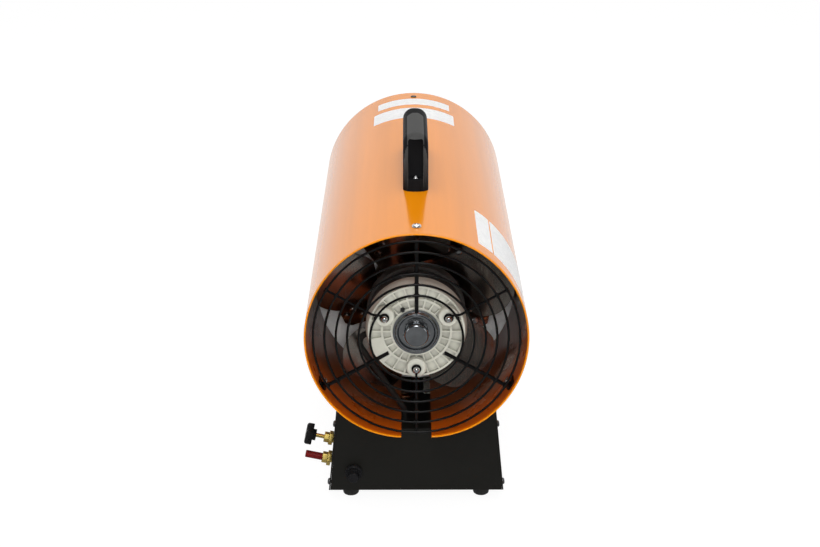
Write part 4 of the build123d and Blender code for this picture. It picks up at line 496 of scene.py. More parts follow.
def cast_metal(name="die_casting_painted_shade", tint=None):
    """Bare die casting, sandy on its skin, with painted shade darkening its pockets and corners."""
    look = Finish(name)
    tint = tint or colours().casting
    flow = look.noise(45, 6, 0.6)
    sand = look.noise(2200, 3)
    pits = look.cells(900)
    # Painted shade: ambient occlusion darkens the colour in the pockets and corners
    corner = look.add("ShaderNodeAmbientOcclusion", samples=8)
    corner.inputs["Distance"].default_value = 0.004
    skin = look.bump(sand, 0.00005, 0.6)
    unshaded_colour = look.mottled(flow, tint, 0.88, 1.08)
    return look.set(
        Base_Color=look.mixed(look.ranged(corner.outputs["AO"], 0, 1, 0.3, 0.9), shade(tint, 0.60), unshaded_colour),
        Roughness=look.ranged(sand, 0.36, 0.5),
        Normal=look.bump(look.ranged(pits["Distance"], 0, 1, 0, 0.2), 0.00002, 0.3, skin),
    )


def plated_cap():
    """Dark plated steel with faint marks of drawing."""
    look = Finish("plated_cap_steel")
    tint = colours().cap
    cloud = look.noise(120, 4)
    drawn = look.noise(1.0, 3, 0.6, look.stretched((250, 30, 250)))
    return look.set(
        Base_Color=look.mottled(cloud, tint, 0.85, 1.2),
        Roughness=look.ranged(cloud, 0.08, 0.16),
        Metallic=1.0,
        Normal=look.bump(drawn, 0.00003, 0.15),
    )


def polished_sheet():
    """Bright rolled sheet of the fan, with fine rolling lines."""
    look = Finish("bright_fan_sheet")
    tint = colours().fan
    rolled = look.noise(1.0, 3, 0.6, look.stretched((900, 40, 40)))
    cloud = look.noise(22, 3)
    return look.set(
        Base_Color=look.mottled(cloud, tint, 0.8, 1.1),
        Roughness=look.ranged(rolled, 0.12, 0.24),
        Metallic=1.0,
        Normal=look.bump(rolled, 0.00001, 0.3),
    )


def zinc_plate():
    """Bright zinc plate with a slight bloom."""
    return simple_finish("zinc_plate", colours().zinc, 0.07, 1.0, grain=1200, depth=0.00001, mottle=300)


def galvanised_sheet():
    """Hot-dip galvanised sheet with spangle."""
    look = Finish("galvanised_sheet")
    tint = colours().galvanised
    spangle = look.cells(160)["Color"]
    return look.set(
        Base_Color=look.mixed(look.ranged(spangle, 0, 1, 0, 1), shade(tint, 0.86), shade(tint, 1.08)),
        Roughness=look.ranged(spangle, 0.34, 0.52, 0, 1),
        Metallic=0.25,
        Normal=look.bump(look.noise(700, 2), 0.00002, 0.3),
    )


def burner_steel():
    """Heat-resisting steel, rolled lengthwise, with faint heat tints."""
    look = Finish("burner_steel")
    tint = colours().heatproof
    rolled = look.noise(1.0, 4, 0.6, look.stretched((60, 6, 60)))
    fine = look.noise(1600, 2)
    return look.set(
        Base_Color=look.mixed(look.ranged(rolled, 0, 1), shade(tint, 0.85), (0.50, 0.42, 0.32)),
        Roughness=look.ranged(rolled, 0.28, 0.42),
        Metallic=1.0,
        Normal=look.bump(fine, 0.00001, 0.4),
    )


def turned_metal(name, tint, roughness):
    """Turned or drawn fittings in bare metal."""
    return simple_finish(name, tint, roughness, 1.0, grain=1500, depth=0.00001, spread=0.15, mottle=220)


def moulded_plastic(name="black_moulded_plastic", shine=0.05):
    """Black moulded plastic with a dull shine."""
    look = Finish(name)
    tint = colours().plastic
    grain = look.noise(1500, 3, 0.6)
    cloud = look.noise(40, 3)
    return look.set(
        Base_Color=look.mottled(cloud, tint, 0.85, 1.25),
        Roughness=look.ranged(grain, 0.22, 0.32),
        Normal=look.bump(grain, 0.00002, 0.3),
        Specular_IOR_Level=shine,
    )


def grip_grain_and_sheen():
    """Spark-eroded grain of the handle's grip, in a lighter grey that also paints sheen on its upper and
    front faces.
    """
    look = Finish("grained_grip_and_sheen")
    tint = colours().grip
    grain = look.noise(2000, 3, 0.6)
    pits = look.cells(1300)
    skin = look.bump(grain, 0.00006, 0.5)
    return look.set(
        Base_Color=look.mottled(grain, tint, 0.7, 1.35),
        Roughness=look.ranged(grain, 0.42, 0.6),
        Normal=look.bump(look.ranged(pits["Distance"], 0, 1, 0, 0.3), 0.00005, 0.4, skin),
        Specular_IOR_Level=0.08,
    )


def soft_rubber():
    """Black rubber."""
    return simple_finish("black_rubber", colours().rubber, 0.62, grain=1100, depth=0.00004, spread=0.25)


def red_cap_plastic():
    """Soft red plastic that lets a little light through."""
    look = Finish("red_cap_plastic")
    tint = colours().cap_red
    cloud = look.noise(300, 3)
    return look.set(
        Base_Color=look.mottled(cloud, tint, 0.8, 1.3),
        Roughness=look.ranged(cloud, 0.3, 0.42),
        Normal=look.bump(cloud, 0.00002, 0.3),
        Subsurface_Weight=0.15,
        Subsurface_Scale=0.001,
        Specular_IOR_Level=0.15,
    )


def stacked_laminations():
    """Edges of thin electrical sheets stacked along the tube's axis."""
    look = Finish("lamination_stack")
    stack = look.waves(320, wave_type="BANDS", bands_direction="Y")
    rust = look.noise(90, 4)
    return look.set(
        # Dark steel grey, made darker still to paint the shade the stack lies in behind the shield
        Base_Color=look.mixed(look.ranged(rust, 0, 1), (0.030, 0.030, 0.031), (0.060, 0.057, 0.053)),
        Roughness=look.ranged(rust, 0.38, 0.5),
        Metallic=0.3,
        Normal=look.bump(stack, 0.00008, 0.6),
    )


def wound_wire():
    """Lacquered copper turns."""
    look = Finish("enamelled_winding")
    turns = look.waves(240, wave_type="RINGS", rings_direction="Y")
    return look.set(
        Base_Color=look.mixed(look.ranged(turns, 0, 1, 0, 1), (0.20, 0.07, 0.03), (0.45, 0.17, 0.07)),
        Roughness=look.ranged(look.noise(500), 0.25, 0.4),
        Metallic=0.6,
        Normal=look.bump(turns, 0.0002, 0.7),
    )


def label_paper():
    """Blank coated paper."""
    look = Finish("label_paper")
    tint = colours().paper
    fibres = look.noise(1800, 4, 0.7)
    cloud = look.noise(60, 3)
    return look.set(
        Base_Color=look.mottled(cloud, tint, 0.97, 1.02),
        Roughness=look.ranged(fibres, 0.32, 0.42),
        Normal=look.bump(fibres, 0.00001, 0.2),
    )


def ruled_paper():
    """The same paper with faint broken rules across it."""
    look = Finish("ruled_paper")
    rules = look.waves(75, wave_type="BANDS", bands_direction="Y")
    broken = look.noise(1.0, 2, 0.5, look.stretched((220, 1500, 220)))
    lines = look.ranged(rules, 0, 1, 0.70, 0.85)
    ink = look.worked("MULTIPLY", lines, look.ranged(broken, 0, 0.55, 0.40, 0.55))
    fibres = look.noise(1800, 4, 0.7)
    return look.set(
        Base_Color=look.mixed(ink, colours().paper, (0.30, 0.30, 0.34)),
        Roughness=look.ranged(fibres, 0.32, 0.42),
        Normal=look.bump(fibres, 0.00001, 0.2),
    )


def inside_paint_and_shade():
    """The tube's inner face: full orange at the inlet rim, darkening deeper in as painted shade where
    little light reaches.
    """
    look = Finish("inside_orange_painted_shade")
    tint = colours().inside
    depth = look.ranged(look.along_y(look.place), 0, 1, INLET_Y, INLET_Y + sizes().painted_shade_depth)
    cloud = look.noise(18, 4)
    peel = look.noise(520, 2, 0.4)
    # Painted shade: the darker inside colour deeper in the tube
    thin = look.mottled(cloud, tint, 0.85, 1.15)
    return look.set(
        Base_Color=look.mixed(depth, colours().rim, thin),
        Roughness=look.ranged(cloud, 0.24, 0.34),
        Normal=look.bump(peel, 0.00006, 0.35),
    )


def glazed_ceramic():
    """Glazed electrode ceramic."""
    return simple_finish("glazed_ceramic", (0.78, 0.76, 0.70), 0.18, grain=600, depth=0.00001, spread=0.04)


def terminal_nylon():
    """Off-white nylon of the terminal block."""
    return simple_finish("terminal_nylon", (0.62, 0.61, 0.55), 0.4, grain=1500, depth=0.00002, spread=0.06)


FINISHES = {
    "shell_paint": gloss_paint,
    "guard_wire": wire_paint,
    "black_paint": textured_paint,
    "black_screw": blackened_screw,
    "motor_cast": cast_metal,
    # Painted shade: the front shield's casting made nearly black
    "shade_darkened_casting": lambda: cast_metal("casting_darkened_for_shade", (0.045, 0.042, 0.038)),
    "steel": lambda: turned_metal("plain_steel", (0.50, 0.50, 0.49), 0.3),
    "zinc": zinc_plate,
    "galvanised": galvanised_sheet,
    "lamination": stacked_laminations,
    "copper_winding": wound_wire,
    "cap_steel": plated_cap,
    "fan_metal": polished_sheet,
    "brass": lambda: turned_metal("turned_brass", colours().brass, 0.24),
    "copper": lambda: turned_metal("drawn_copper", colours().copper, 0.28),
    "black_plastic": moulded_plastic,
    "black_rubber": soft_rubber,
    "red_plastic": red_cap_plastic,
    "white_ceramic": glazed_ceramic,
    "terminal_plastic": terminal_nylon,
    "paper": label_paper,
    "ruled_paper": ruled_paper,
    "grip_grain_and_sheen": grip_grain_and_sheen,
    "handle_plastic": lambda: moulded_plastic("handle_plastic", 0.002),
    "inside_paint_and_shade": inside_paint_and_shade,
    "burner_steel": burner_steel,
}
made_finishes = {}


def finish_for(name):
    """The material of a finish, made once."""
    if name not in made_finishes:
        made_finishes[name] = FINISHES[name]()
    return made_finishes[name]


def dress(piece, finish):
    """Gives a piece or a frame node one finish."""
    piece.data.materials.clear()
    piece.data.materials.append(finish_for(finish))


def dress_picked(piece, finish):
    """Gives what is selected on the edited piece a second finish, and leaves edit mode."""
    piece.data.materials.append(finish_for(finish))
    piece.active_material_index = 1
    bpy.ops.object.material_slot_assign()
    deselect()


# -------------------------------------------------------------------- places

def metres(*values):
    """Millimetres as metres."""
    return tuple(value * MM for value in values)


def rim(x, y, z):
    """A point given from the inlet rim's centre, in millimetres, in the heater's frame."""
    return Vector((x * MM, INLET_Y + y * MM, AXIS_HEIGHT + z * MM))


def around(radius, clock, y):
    """A point at a clock angle round the tube's axis."""
    angle = radians(clock)
    return rim(radius * sin(angle), y, radius * cos(angle))


def on_tube(clock, y, radius):
    """Place on the tube at a clock angle, +Z outwards, +Y along the tube."""
    return Matrix.Translation(around(radius, clock, y)) @ Matrix.Rotation(radians(clock), 4, "Y")


def turned_to(clock):
    """Place of a piece that was drawn upright above the inlet rim's centre, at a clock angle."""
    return Matrix.Translation(rim(0, 0, 0)) @ Matrix.Rotation(radians(clock), 4, "Y")


def on_panel(side, y, height):
    """Place on a side panel's outer face, +Z outwards, +Y up the panel."""
    flare = radians(BASE_FLARE)
    out = Vector((side * cos(flare), 0, sin(flare)))
    up = Vector((-side * sin(flare), 0, cos(flare)))
    x = side * (BASE_HALF_WIDTH - height * tan(flare))
    turned_out = Matrix((up.cross(out), up, out)).transposed().to_4x4()
    return Matrix.Translation(rim(x, y, height - BASE_BELOW_AXIS)) @ turned_out


def round_section(radius, place):
    """Twelve points of a round section, each placed from its two distances from the middle."""
    angles = [2 * pi * k / 12 for k in range(12)]
    return [place(radius * sin(angle), radius * cos(angle)) for angle in angles]


# ----------------------------------------------------------------- modelling

def deselect():
    """Leaves edit mode and selects nothing."""
    if bpy.context.object and bpy.context.object.mode != "OBJECT":
        bpy.ops.object.mode_set(mode="OBJECT")
    bpy.ops.object.select_all(action="DESELECT")


def choose(*pieces):
    """Selects pieces, the first of them active."""
    deselect()
    for piece in pieces:
        piece.select_set(True)
    bpy.context.view_layer.objects.active = pieces[0]


def edit(piece):
    """Opens a piece for editing with all of it selected."""
    choose(piece)
    bpy.ops.object.mode_set(mode="EDIT")
    bpy.ops.mesh.select_mode(type="VERT")
    bpy.ops.mesh.select_all(action="SELECT")


def pick(kind, test):
    """Selects the corners, edges or faces of the edited piece that pass a test."""
    bpy.ops.mesh.select_mode(type=kind)
    bpy.ops.mesh.select_all(action="DESELECT")
    mesh = bmesh.from_edit_mesh(bpy.context.object.data)
    for part in {"VERT": mesh.verts, "EDGE": mesh.edges, "FACE": mesh.faces}[kind]:
        part.select_set(test(part))
    mesh.select_flush_mode()
    bmesh.update_edit_mesh(bpy.context.object.data)


def trace(name, points, closed=False):
    """Draws a line of edges through points and leaves it open for editing."""
    deselect()
    bpy.ops.mesh.primitive_plane_add(size=0.001)
    piece = bpy.context.object
    piece.name = name
    edit(piece)
    bpy.ops.mesh.merge(type="CENTER")
    bpy.ops.transform.translate(value=points[0])
    ring = [*points, points[0]] if closed else points
    for start, end in zip(ring, ring[1:]):
        step = tuple(after - before for before, after in zip(start, end))
        bpy.ops.mesh.extrude_region_move(TRANSFORM_OT_translate={"value": step})
    bpy.ops.mesh.select_all(action="SELECT")
    if closed:
        bpy.ops.mesh.remove_doubles(threshold=0.000001)
    return piece


def turn(steps, angle, centre=(0, 0, 0), axis=(0, 0, 1)):
    """Spins what is selected about an axis, clock angles growing."""
    bpy.ops.mesh.spin(steps=steps, angle=-radians(angle), center=centre, axis=axis)


def close_up(piece):
    """Merges doubles, fills holes, points the faces outwards and leaves edit mode."""
    edit(piece)
    bpy.ops.mesh.remove_doubles(threshold=0.000002)
    bpy.ops.mesh.fill_holes(sides=0)
    bpy.ops.mesh.select_all(action="SELECT")
    bpy.ops.mesh.normals_make_consistent(inside=False)
    deselect()
    return piece


def turned(name, profile, steps=32):
    """A piece turned about Z from a profile of (radius, height) points in millimetres."""
    piece = trace(name, [metres(radius, 0, height) for radius, height in profile])
    turn(steps, 360)
    return close_up(piece)


def apply(piece, kind, **values):
    """Adds a modifier with its settings and applies it."""
    choose(piece)
    modifier = piece.modifiers.new(kind.lower(), kind)
    for key, value in values.items():
        setattr(modifier, key, value)
    bpy.ops.object.modifier_apply(modifier=modifier.name)
    return piece


def smooth(piece, angle=28):
    """Smooth shading that keeps real edges crisp."""
    choose(piece)
    bpy.ops.object.shade_smooth_by_angle(angle=radians(angle))
    return apply(piece, "WEIGHTED_NORMAL", keep_sharp=True)


def soften(piece, width, segments=2, angle=32):
    """Rounds the sharp edges of a piece by a width in millimetres."""
    return apply(
        piece, "BEVEL", width=width * MM, segments=segments, limit_method="ANGLE",
        angle_limit=radians(angle), use_clamp_overlap=True,
    )


def settle(piece, place=None):
    """Moves a piece to its place and puts that place into its mesh."""
    if place is not None:
        piece.matrix_world = place @ piece.matrix_world
    choose(piece)
    bpy.ops.object.transform_apply(location=True, rotation=True, scale=True)
    return piece


def join(parts, name):
    """Several pieces joined into one."""
    choose(*parts)
    if len(parts) > 1:
        bpy.ops.object.join()
    piece = bpy.context.object
    piece.name = name
    return piece


def copies(pattern, places, name):
    """One piece made of copies of a pattern at places. The pattern goes."""
    made = []
    for place in places:
        choose(pattern)
        bpy.ops.object.duplicate()
        made.append(settle(bpy.context.object, place))
    bpy.data.objects.remove(pattern)
    return join(made, name)


def wire(name, points, radius, bend):
    """Round wire along points, with bent corners, all in millimetres."""
    path = [Vector(metres(*point)) for point in points]
    piece = trace(name, path)
    ends = (path[0], path[-1])
    pick("VERT", lambda corner: min((corner.co - end).length for end in ends) > 0.0001)
    bpy.ops.mesh.bevel(offset=bend * MM, segments=6, affect="VERTICES")
    choose(piece)
    bpy.ops.object.convert(target="CURVE")
    piece = bpy.context.object
    piece.data.bevel_depth = radius * MM
    piece.data.bevel_resolution = 4
    piece.data.use_fill_caps = True
    bpy.ops.object.convert(target="MESH")
    piece = close_up(bpy.context.object)
    return smooth(piece, 50)


def node_copy(name, flatness=None):
    """A merged copy of a frame node to work on, its flat faces made whole where an angle is given."""
    node = frame["nodes"][name]
    choose(node)
    bpy.ops.object.duplicate()
    piece = bpy.context.object
    for key in [key for key in piece.keys() if key.startswith("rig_")]:
        del piece[key]
    piece.parent = None
    piece.matrix_world = node.matrix_world.copy()
    piece.name = name + "_finished"
    edit(piece)
    bpy.ops.mesh.remove_doubles(threshold=0.000004)
    deselect()
    if flatness:
        edit(piece)
        bpy.ops.mesh.dissolve_limited(angle_limit=radians(flatness))
        deselect()
    return piece


# ---------------------------------------------------------------- the frame

def slots():
    """Material slot of every frame node."""
    return {part["node"]: part["material_slot"] for part in frame["record"]["subparts"]}


def body_with(node):
    """Name of the body that carries a frame node."""
    for body, nodes in frame["record"]["behaviour"]["bodies"].items():
        if node in nodes:
            return body
    raise RuntimeError("no body carries " + node)


def home(piece, node):
    """Seats a finished piece on its node's body and lets it stand for the node."""
    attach(piece, body_with(node))
    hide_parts(node)


def dressed_home(piece, node):
    """The same for a piece that wears its node's own finish all over."""
    dress(piece, SPECIAL_FINISHES.get(node, slots()[node]))
    home(piece, node)


def added(piece, body, slot):
    """Dresses and seats a piece that stands for no node."""
    dress(piece, slot)
    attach(piece, body)


# ----------------------------------------------------------------- operators

class HEATER_OT_frame_finishes(bpy.types.Operator):
    """Give every frame node the finish of its material slot"""

    bl_idname = "heater.frame_finishes"
    bl_label = "Frame Finishes"

    def execute(self, context):
        finish_of = slots()
        for name, node in frame["nodes"].items():
            dress(node, finish_of[name])
        return {"FINISHED"}


class HEATER_OT_shell(bpy.types.Operator):
    """Roll the tube from its hemmed sheet section"""

    bl_idname = "heater.shell"
    bl_label = "Tube"

    def execute(self, context):
        line = [around(radius, -FOOT_CLOCK, y) for radius, y in self.section()]
        piece = trace("outer_shell_finished", line, True)
        middle = rim(0, 0, 0)
        turn(TUBE_STEPS, 2 * FOOT_CLOCK, middle, (0, 1, 0))
        self.feet(middle)
        close_up(piece)
        dress(piece, "shell_paint")
        edit(piece)

        def inside(face):
            """Inside faces, past the rolled hem."""
            out = face.calc_center_median() - middle
            flat = Vector((out.x, 0, out.z))
            from_half_way = abs(out.y - TUBE_LENGTH * MM / 2)
            return face.normal.dot(flat) < 0 and from_half_way < INSIDE_FINISH_LENGTH * MM / 2

        pick("FACE", inside)
        dress_picked(piece, "inside_paint_and_shade")
        smooth(piece, 35)
        home(piece, "outer_shell")
        return {"FINISHED"}

    def section(self):
        """The sheet's section along the tube as (radius, y) points, folded back into a hem at both ends."""
        wall = sizes().sheet / MM
        hem = sizes().hem / MM
        fold = sizes().hem_depth / MM
        half = hem / 2
        edge = hem * 1.5
        near = [(TUBE, edge)]
        for angle in (0, pi / 4, pi / 2, 3 * pi / 4, pi):
            near.append((TUBE - half + half * cos(angle), half - half * sin(angle)))
        near += [(TUBE - hem, edge), (TUBE - hem, fold)]
        near += [(TUBE - wall, fold + wall), (TUBE - wall, fold + 2.5 * wall)]
        return near + [(radius, TUBE_LENGTH - y) for radius, y in reversed(near)]

    def feet(self, middle):
        """Carries the open tube on both sides down to the slot, on a smaller arc."""
        rise = cos(radians(180 - FOOT_CLOCK))
        foot = (TUBE_BOTTOM - TUBE * rise) / (1 - rise)
        centre_x = (TUBE - foot) * sin(radians(FOOT_CLOCK))
        centre_z = (TUBE - foot) * cos(radians(FOOT_CLOCK))
        sweep = 180 - FOOT_CLOCK - degrees(asin((HALF_SLOT - centre_x) / foot))
        turn(FOOT_STEPS, sweep, rim(centre_x, 0, centre_z), (0, 1, 0))
        start = Vector((-sin(radians(FOOT_CLOCK)), 0, cos(radians(FOOT_CLOCK))))
        side = Vector((start.z, 0, -start.x))

        def at_start(corner):
            """Corners of the section where the tube began."""
            out = corner.co - middle
            return abs(out.dot(side)) < 0.00001 and out.dot(start) > 0

        pick("VERT", at_start)
        turn(FOOT_STEPS, -sweep, rim(-centre_x, 0, centre_z), (0, 1, 0))


class HEATER_OT_labels(bpy.types.Operator):
    """Stick blank paper labels on the tube"""

    bl_idname = "heater.labels"
    bl_label = "Labels"

    def execute(self, context):
        for label in LABELS:
            self.label(*label)
        return {"FINISHED"}

    def label(self, name, first, last, start, end, margin):
        """A curved sheet of paper with rounded corners and a ruled middle."""
        radius = TUBE + LABEL_GAP
        middle = rim(0, 0, 0)
        piece = trace(name, [around(radius, first, y) for y in (start, end)])
        turn(max(6, round((last - first) / LABEL_STEP)), last - first, middle, (0, 1, 0))
        deselect()
        dress(piece, "paper")
        edit(piece)
        bpy.ops.mesh.normals_make_consistent(inside=False)
        bpy.ops.mesh.inset(thickness=margin * MM, use_boundary=True)
        dress_picked(piece, "ruled_paper")
        corners = [around(radius, clock, y) for clock in (first, last) for y in (start, end)]
        edit(piece)
        pick("VERT", lambda point: min((point.co - corner).length for corner in corners) < 0.0002)
        bpy.ops.mesh.bevel(offset=LABEL_CORNER * MM, segments=3, affect="VERTICES")
        deselect()
        face = piece.data.polygons[0]
        out = face.center - middle
        if face.normal.dot(Vector((out.x, 0, out.z))) < 0:
            edit(piece)
            bpy.ops.mesh.flip_normals()
            deselect()
        apply(piece, "SOLIDIFY", thickness=sizes().label, offset=1)
        smooth(piece, 30)
        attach(piece, "housing")


class HEATER_OT_guard(bpy.types.Operator):
    """Weld the inlet guard from bent wire"""

    bl_idname = "heater.guard"
    bl_label = "Inlet Guard"

    def execute(self, context):
        parts = [self.ring(radius) for radius in GUARD_RINGS]
        for clock, start in SPOKE_STARTS.items():
            parts += self.spoke(clock, start)
        for clock in SIXTHS_BETWEEN:
            parts += self.strut(clock)
        parts.append(self.welds())
        dressed_home(join(parts, "rear_guard_finished"), "rear_guard")
        return {"FINISHED"}

    def ring(self, radius):
        """One ring of the guard."""
        section = round_section(sizes().ring_wire / MM, lambda y, out: rim(0, RING_Y + y, radius + out))
        piece = trace("guard_ring", section, True)
        turn(144, 360, rim(0, RING_Y, 0), (0, 1, 0))
        close_up(piece)
        return smooth(piece, 60)

    def arm_y(self, radius):
        """Depth of a wire that is welded on top of the rings."""
        return RING_Y + sizes().ring_wire / MM + radius - WELD_SINK

    def spoke(self, clock, start):
        """A thick spoke that turns in along the shell and carries a screwed tab."""
        arm = self.arm_y(SPOKE_WIRE)
        path = [(0, arm, start), (0, arm, ARM_END)]
        path += [(0, y, SPOKE_REACH) for y in (SPOKE_TURN_Y, SPOKE_END_Y)]
        spoke = wire("guard_spoke", path, SPOKE_WIRE, 2.0)
        deselect()
        bpy.ops.mesh.primitive_cube_add(size=1, location=metres(*TAB_MIDDLE), scale=metres(*TAB_SIZE))
        tab = settle(bpy.context.object)
        edit(tab)
        pick("EDGE", lambda edge: abs(edge.verts[0].co.z - edge.verts[1].co.z) > 0.001)
        bpy.ops.mesh.bevel(offset=TAB_CORNER * MM, segments=5, affect="EDGES")
        deselect()
        soften(tab, 0.2)
        smooth(tab)
        return [settle(piece, turned_to(clock)) for piece in (spoke, tab)]

    def strut(self, clock):
        """A thin spoke with an eye round a motor bolt."""
        arm = self.arm_y(STRUT_WIRE)
        reach = BOLT_CIRCLE + EYE_RADIUS
        outer, inner = STRUT_BENDS
        path = [(0, arm, ARM_END), (0, arm, reach + outer), (0, EYE_Y, reach + inner), (0, EYE_Y, reach)]
        strut = wire("guard_strut", path, STRUT_WIRE, 1.5)
        section = round_section(STRUT_WIRE, lambda y, out: metres(0, EYE_Y + y, reach + out))
        eye = trace("guard_eye", section, True)
        turn(36, 360, metres(0, EYE_Y, BOLT_CIRCLE), (0, 1, 0))
        close_up(eye)
        smooth(eye, 60)
        return [settle(piece, turned_to(clock)) for piece in (strut, eye)]

    def welds(self):
        """Flat blobs of weld on both sides of a spoke or strut where it crosses a ring."""
        blob = turned("weld", [(0, 0.7), (0.8, 0.6), (1.4, 0.1), (1.6, -0.6), (0, -0.9)], 10)
        smooth(blob, 60)
        facing = Matrix.Rotation(radians(90), 4, "X")
        places = []
        for clock in sorted(THIRDS + SIXTHS_BETWEEN):
            across = Vector((cos(radians(clock)), 0, -sin(radians(clock)))) * WELD_STEP * MM
            for radius in GUARD_RINGS:
                crossing = around(radius, clock, WELD_Y)
                places += [Matrix.Translation(crossing + side * across) @ facing for side in (-1, 1)]
        return copies(blob, places, "guard_welds")


class HEATER_OT_screws(bpy.types.Operator):
    """Put cross-recessed screws in every screw's place"""

    bl_idname = "heater.screws"
    bl_label = "Screws"

    def execute(self, context):
        panel = [(side, y) for side in (-1, 1) for y in PANEL_SCREWS_Y]
        seats = {
            "guard_screws": [on_tube(clock, GUARD_SCREWS_Y, TUBE) for clock in THIRDS],
            "bracket_screws": [on_tube(clock, y, TUBE) for clock, y in BRACKET_SCREWS],
            "handle_screws": [on_tube(0, y, TUBE + HANDLE_SEAT) for y in HANDLE_SCREWS_Y],
            "panel_screws": [on_panel(*place, height) for place in panel for height in PANEL_SCREW_HEIGHTS],
        }
        for node, places in seats.items():
            finished = copies(self.screw(*SCREWS[node]), places, node + "_finished")
            smooth(finished, 35)
            dressed_home(finished, node)
        return {"FINISHED"}

    def screw(self, radius, height, reach):
        """A pan-head screw with a cross recess, upright on its seat."""
        shank = radius * 0.49
        head = [(0, 1), (0.45, 0.97), (0.75, 0.84), (0.93, 0.58), (1, 0.3), (1, 0)]
        profile = [(radius * across, height * up) for across, up in head]
        profile += [(shank, 0), (shank, -reach + 0.8), (shank * 0.5, -reach), (0, -reach)]
        screw = turned("screw", profile, 28)
        blades = [self.blade(radius, height, angle) for angle in (0, 90)]
        for blade in blades:
            apply(screw, "BOOLEAN", operation="DIFFERENCE", object=blade, solver="EXACT")
            bpy.data.objects.remove(blade)
        return soften(screw, radius * 0.03, 1, 40)

    def blade(self, radius, height, angle):
        """One blade of the driver that cuts the recess, narrower towards its tip."""
        deselect()
        bpy.ops.mesh.primitive_cube_add(
            size=1, location=metres(0, 0, height), rotation=(0, 0, radians(angle)),
            scale=metres(radius * 0.24, radius * 1.16, height * 1.3),
        )
        blade = settle(bpy.context.object)
        edit(blade)
        pick("FACE", lambda face: face.normal.z < -0.9)
        bpy.ops.transform.resize(value=(0.35, 0.35, 1))
        deselect()
        return blade


class HEATER_OT_dome_nuts(bpy.types.Operator):
    """Turn the dome nuts in the guard's eyes, draw the bolts back and plug the shield"""

    bl_idname = "heater.dome_nuts"
    bl_label = "Dome Nuts"

    def execute(self, context):
        facing = Matrix.Rotation(radians(90), 4, "X")
        places = [around(BOLT_CIRCLE, clock, NUT_SEAT_Y) for clock in SIXTHS_BETWEEN]
        nuts = copies(self.nut(), [Matrix.Translation(place) @ facing for place in places], "dome_nuts")
        smooth(nuts, 35)
        dressed_home(nuts, "motor_nuts")
        self.bolts()
        self.plug(facing)
        return {"FINISHED"}

    def nut(self):
        """A dome over a short round base, with a blind thread hole."""
        straight = NUT_HEIGHT - NUT_RADIUS
        bore = [(0, 1.2), (1.6, 0.9), (THREAD_RADIUS, 0.6)]
        profile = [(radius, straight + depth) for radius, depth in bore]
        profile += [(THREAD_RADIUS, 0), (NUT_RADIUS - 0.25, 0), (NUT_RADIUS, 0.25)]
        for angle in (pi / 2 * k / 8 for k in range(8)):
            profile.append((NUT_RADIUS * cos(angle), straight + NUT_RADIUS * sin(angle)))
        return turned("dome_nut", [*profile, (0, NUT_HEIGHT)], 32)

    def bolts(self):
        """Draws the motor bolts' ends back to suit the short nuts."""
        piece = node_copy("motor_bolts", 0.5)
        edit(piece)
        tip = rim(0, BOLT_TIP_Y, 0).y
        pick("VERT", lambda corner: corner.co.y < tip)
        bpy.ops.transform.translate(value=metres(0, BOLT_DRAWN_BACK, 0))
        deselect()
        smooth(piece, 32)
        dressed_home(piece, "motor_bolts")

    def plug(self, facing):
        """A small black plug in the rear shield."""
        deselect()
        bpy.ops.mesh.primitive_cylinder_add(
            vertices=24, radius=PLUG_RADIUS * MM, depth=PLUG_LENGTH * MM, location=rim(*PLUG_PLACE),
            rotation=facing.to_euler(),
        )
        piece = soften(settle(bpy.context.object), 0.3)
        piece.name = "shield_plug"
        smooth(piece)
        added(piece, body_with("motor_rear_shield"), "black_rubber")


class HEATER_OT_handle(bpy.types.Operator):
    """Finish the carrying handle, with a lighter grained strip along the grip's top and lighter grained
    rails on its front leg, partly painted sheen
    """

    bl_idname = "heater.handle"
    bl_label = "Handle"

    def execute(self, context):
        piece = node_copy("handle", 0.2)
        half = sizes().grip_strip / 2
        corner = sizes().strip_corner
        end = rim(0, STRIP_END, 0).y
        cuts = [((side * half, 0, 0), Vector((1, 0, 0))) for side in (-1, 1)]
        cuts.append(((0, end, 0), Vector((0, 1, 0))))
        cuts += [((side * (half - corner), end, 0), Vector((side, 1, 0)).normalized()) for side in (-1, 1)]
        edit(piece)
        for place, across in cuts:
            bpy.ops.mesh.select_all(action="SELECT")
            bpy.ops.mesh.bisect(plane_co=place, plane_no=across)
        deselect()
        dress(piece, "handle_plastic")
        edit(piece)
        foot = rim(0, 0, TUBE).z

        def on_strip(face):
            """The grip's upper side between its two edges, short of the far bend."""
            middle = face.calc_center_median()
            across = abs(middle.x)
            within = across < half and middle.y < end and across + middle.y < half - corner + end
            return within and middle.z > foot + GRIP_RISE * MM and face.normal.z > 0.55

        def on_rail(face):
            """The front leg's face, but not the floor of its pocket."""
            middle = face.calc_center_median()
            lean = (middle.z - foot) * tan(radians(HANDLE_LEAN))
            near = middle.y < rim(0, HANDLE_START + RAIL_DEPTH, 0).y + lean
            return near and middle.z > foot + RAIL_RISE * MM and face.normal.y < -0.35

        # Painted sheen: the lighter grained colour goes on the upward strip and the forward rails
        pick("FACE", lambda face: on_strip(face) or on_rail(face))
        dress_picked(piece, "grip_grain_and_sheen")
        smooth(piece, 32)
        home(piece, "handle")
        return {"FINISHED"}


class HEATER_OT_castings(bpy.types.Operator):
    """Soften the edges of castings, mouldings, sheet and fittings"""

    bl_idname = "heater.castings"
    bl_label = "Castings and Fittings"

    def execute(self, context):
        for node, width in SOFT_EDGES.items():
            piece = node_copy(node, 0.5 if width else None)
            if width:
                soften(piece, width)
            smooth(piece, 32)
            dressed_home(piece, node)
        return {"FINISHED"}


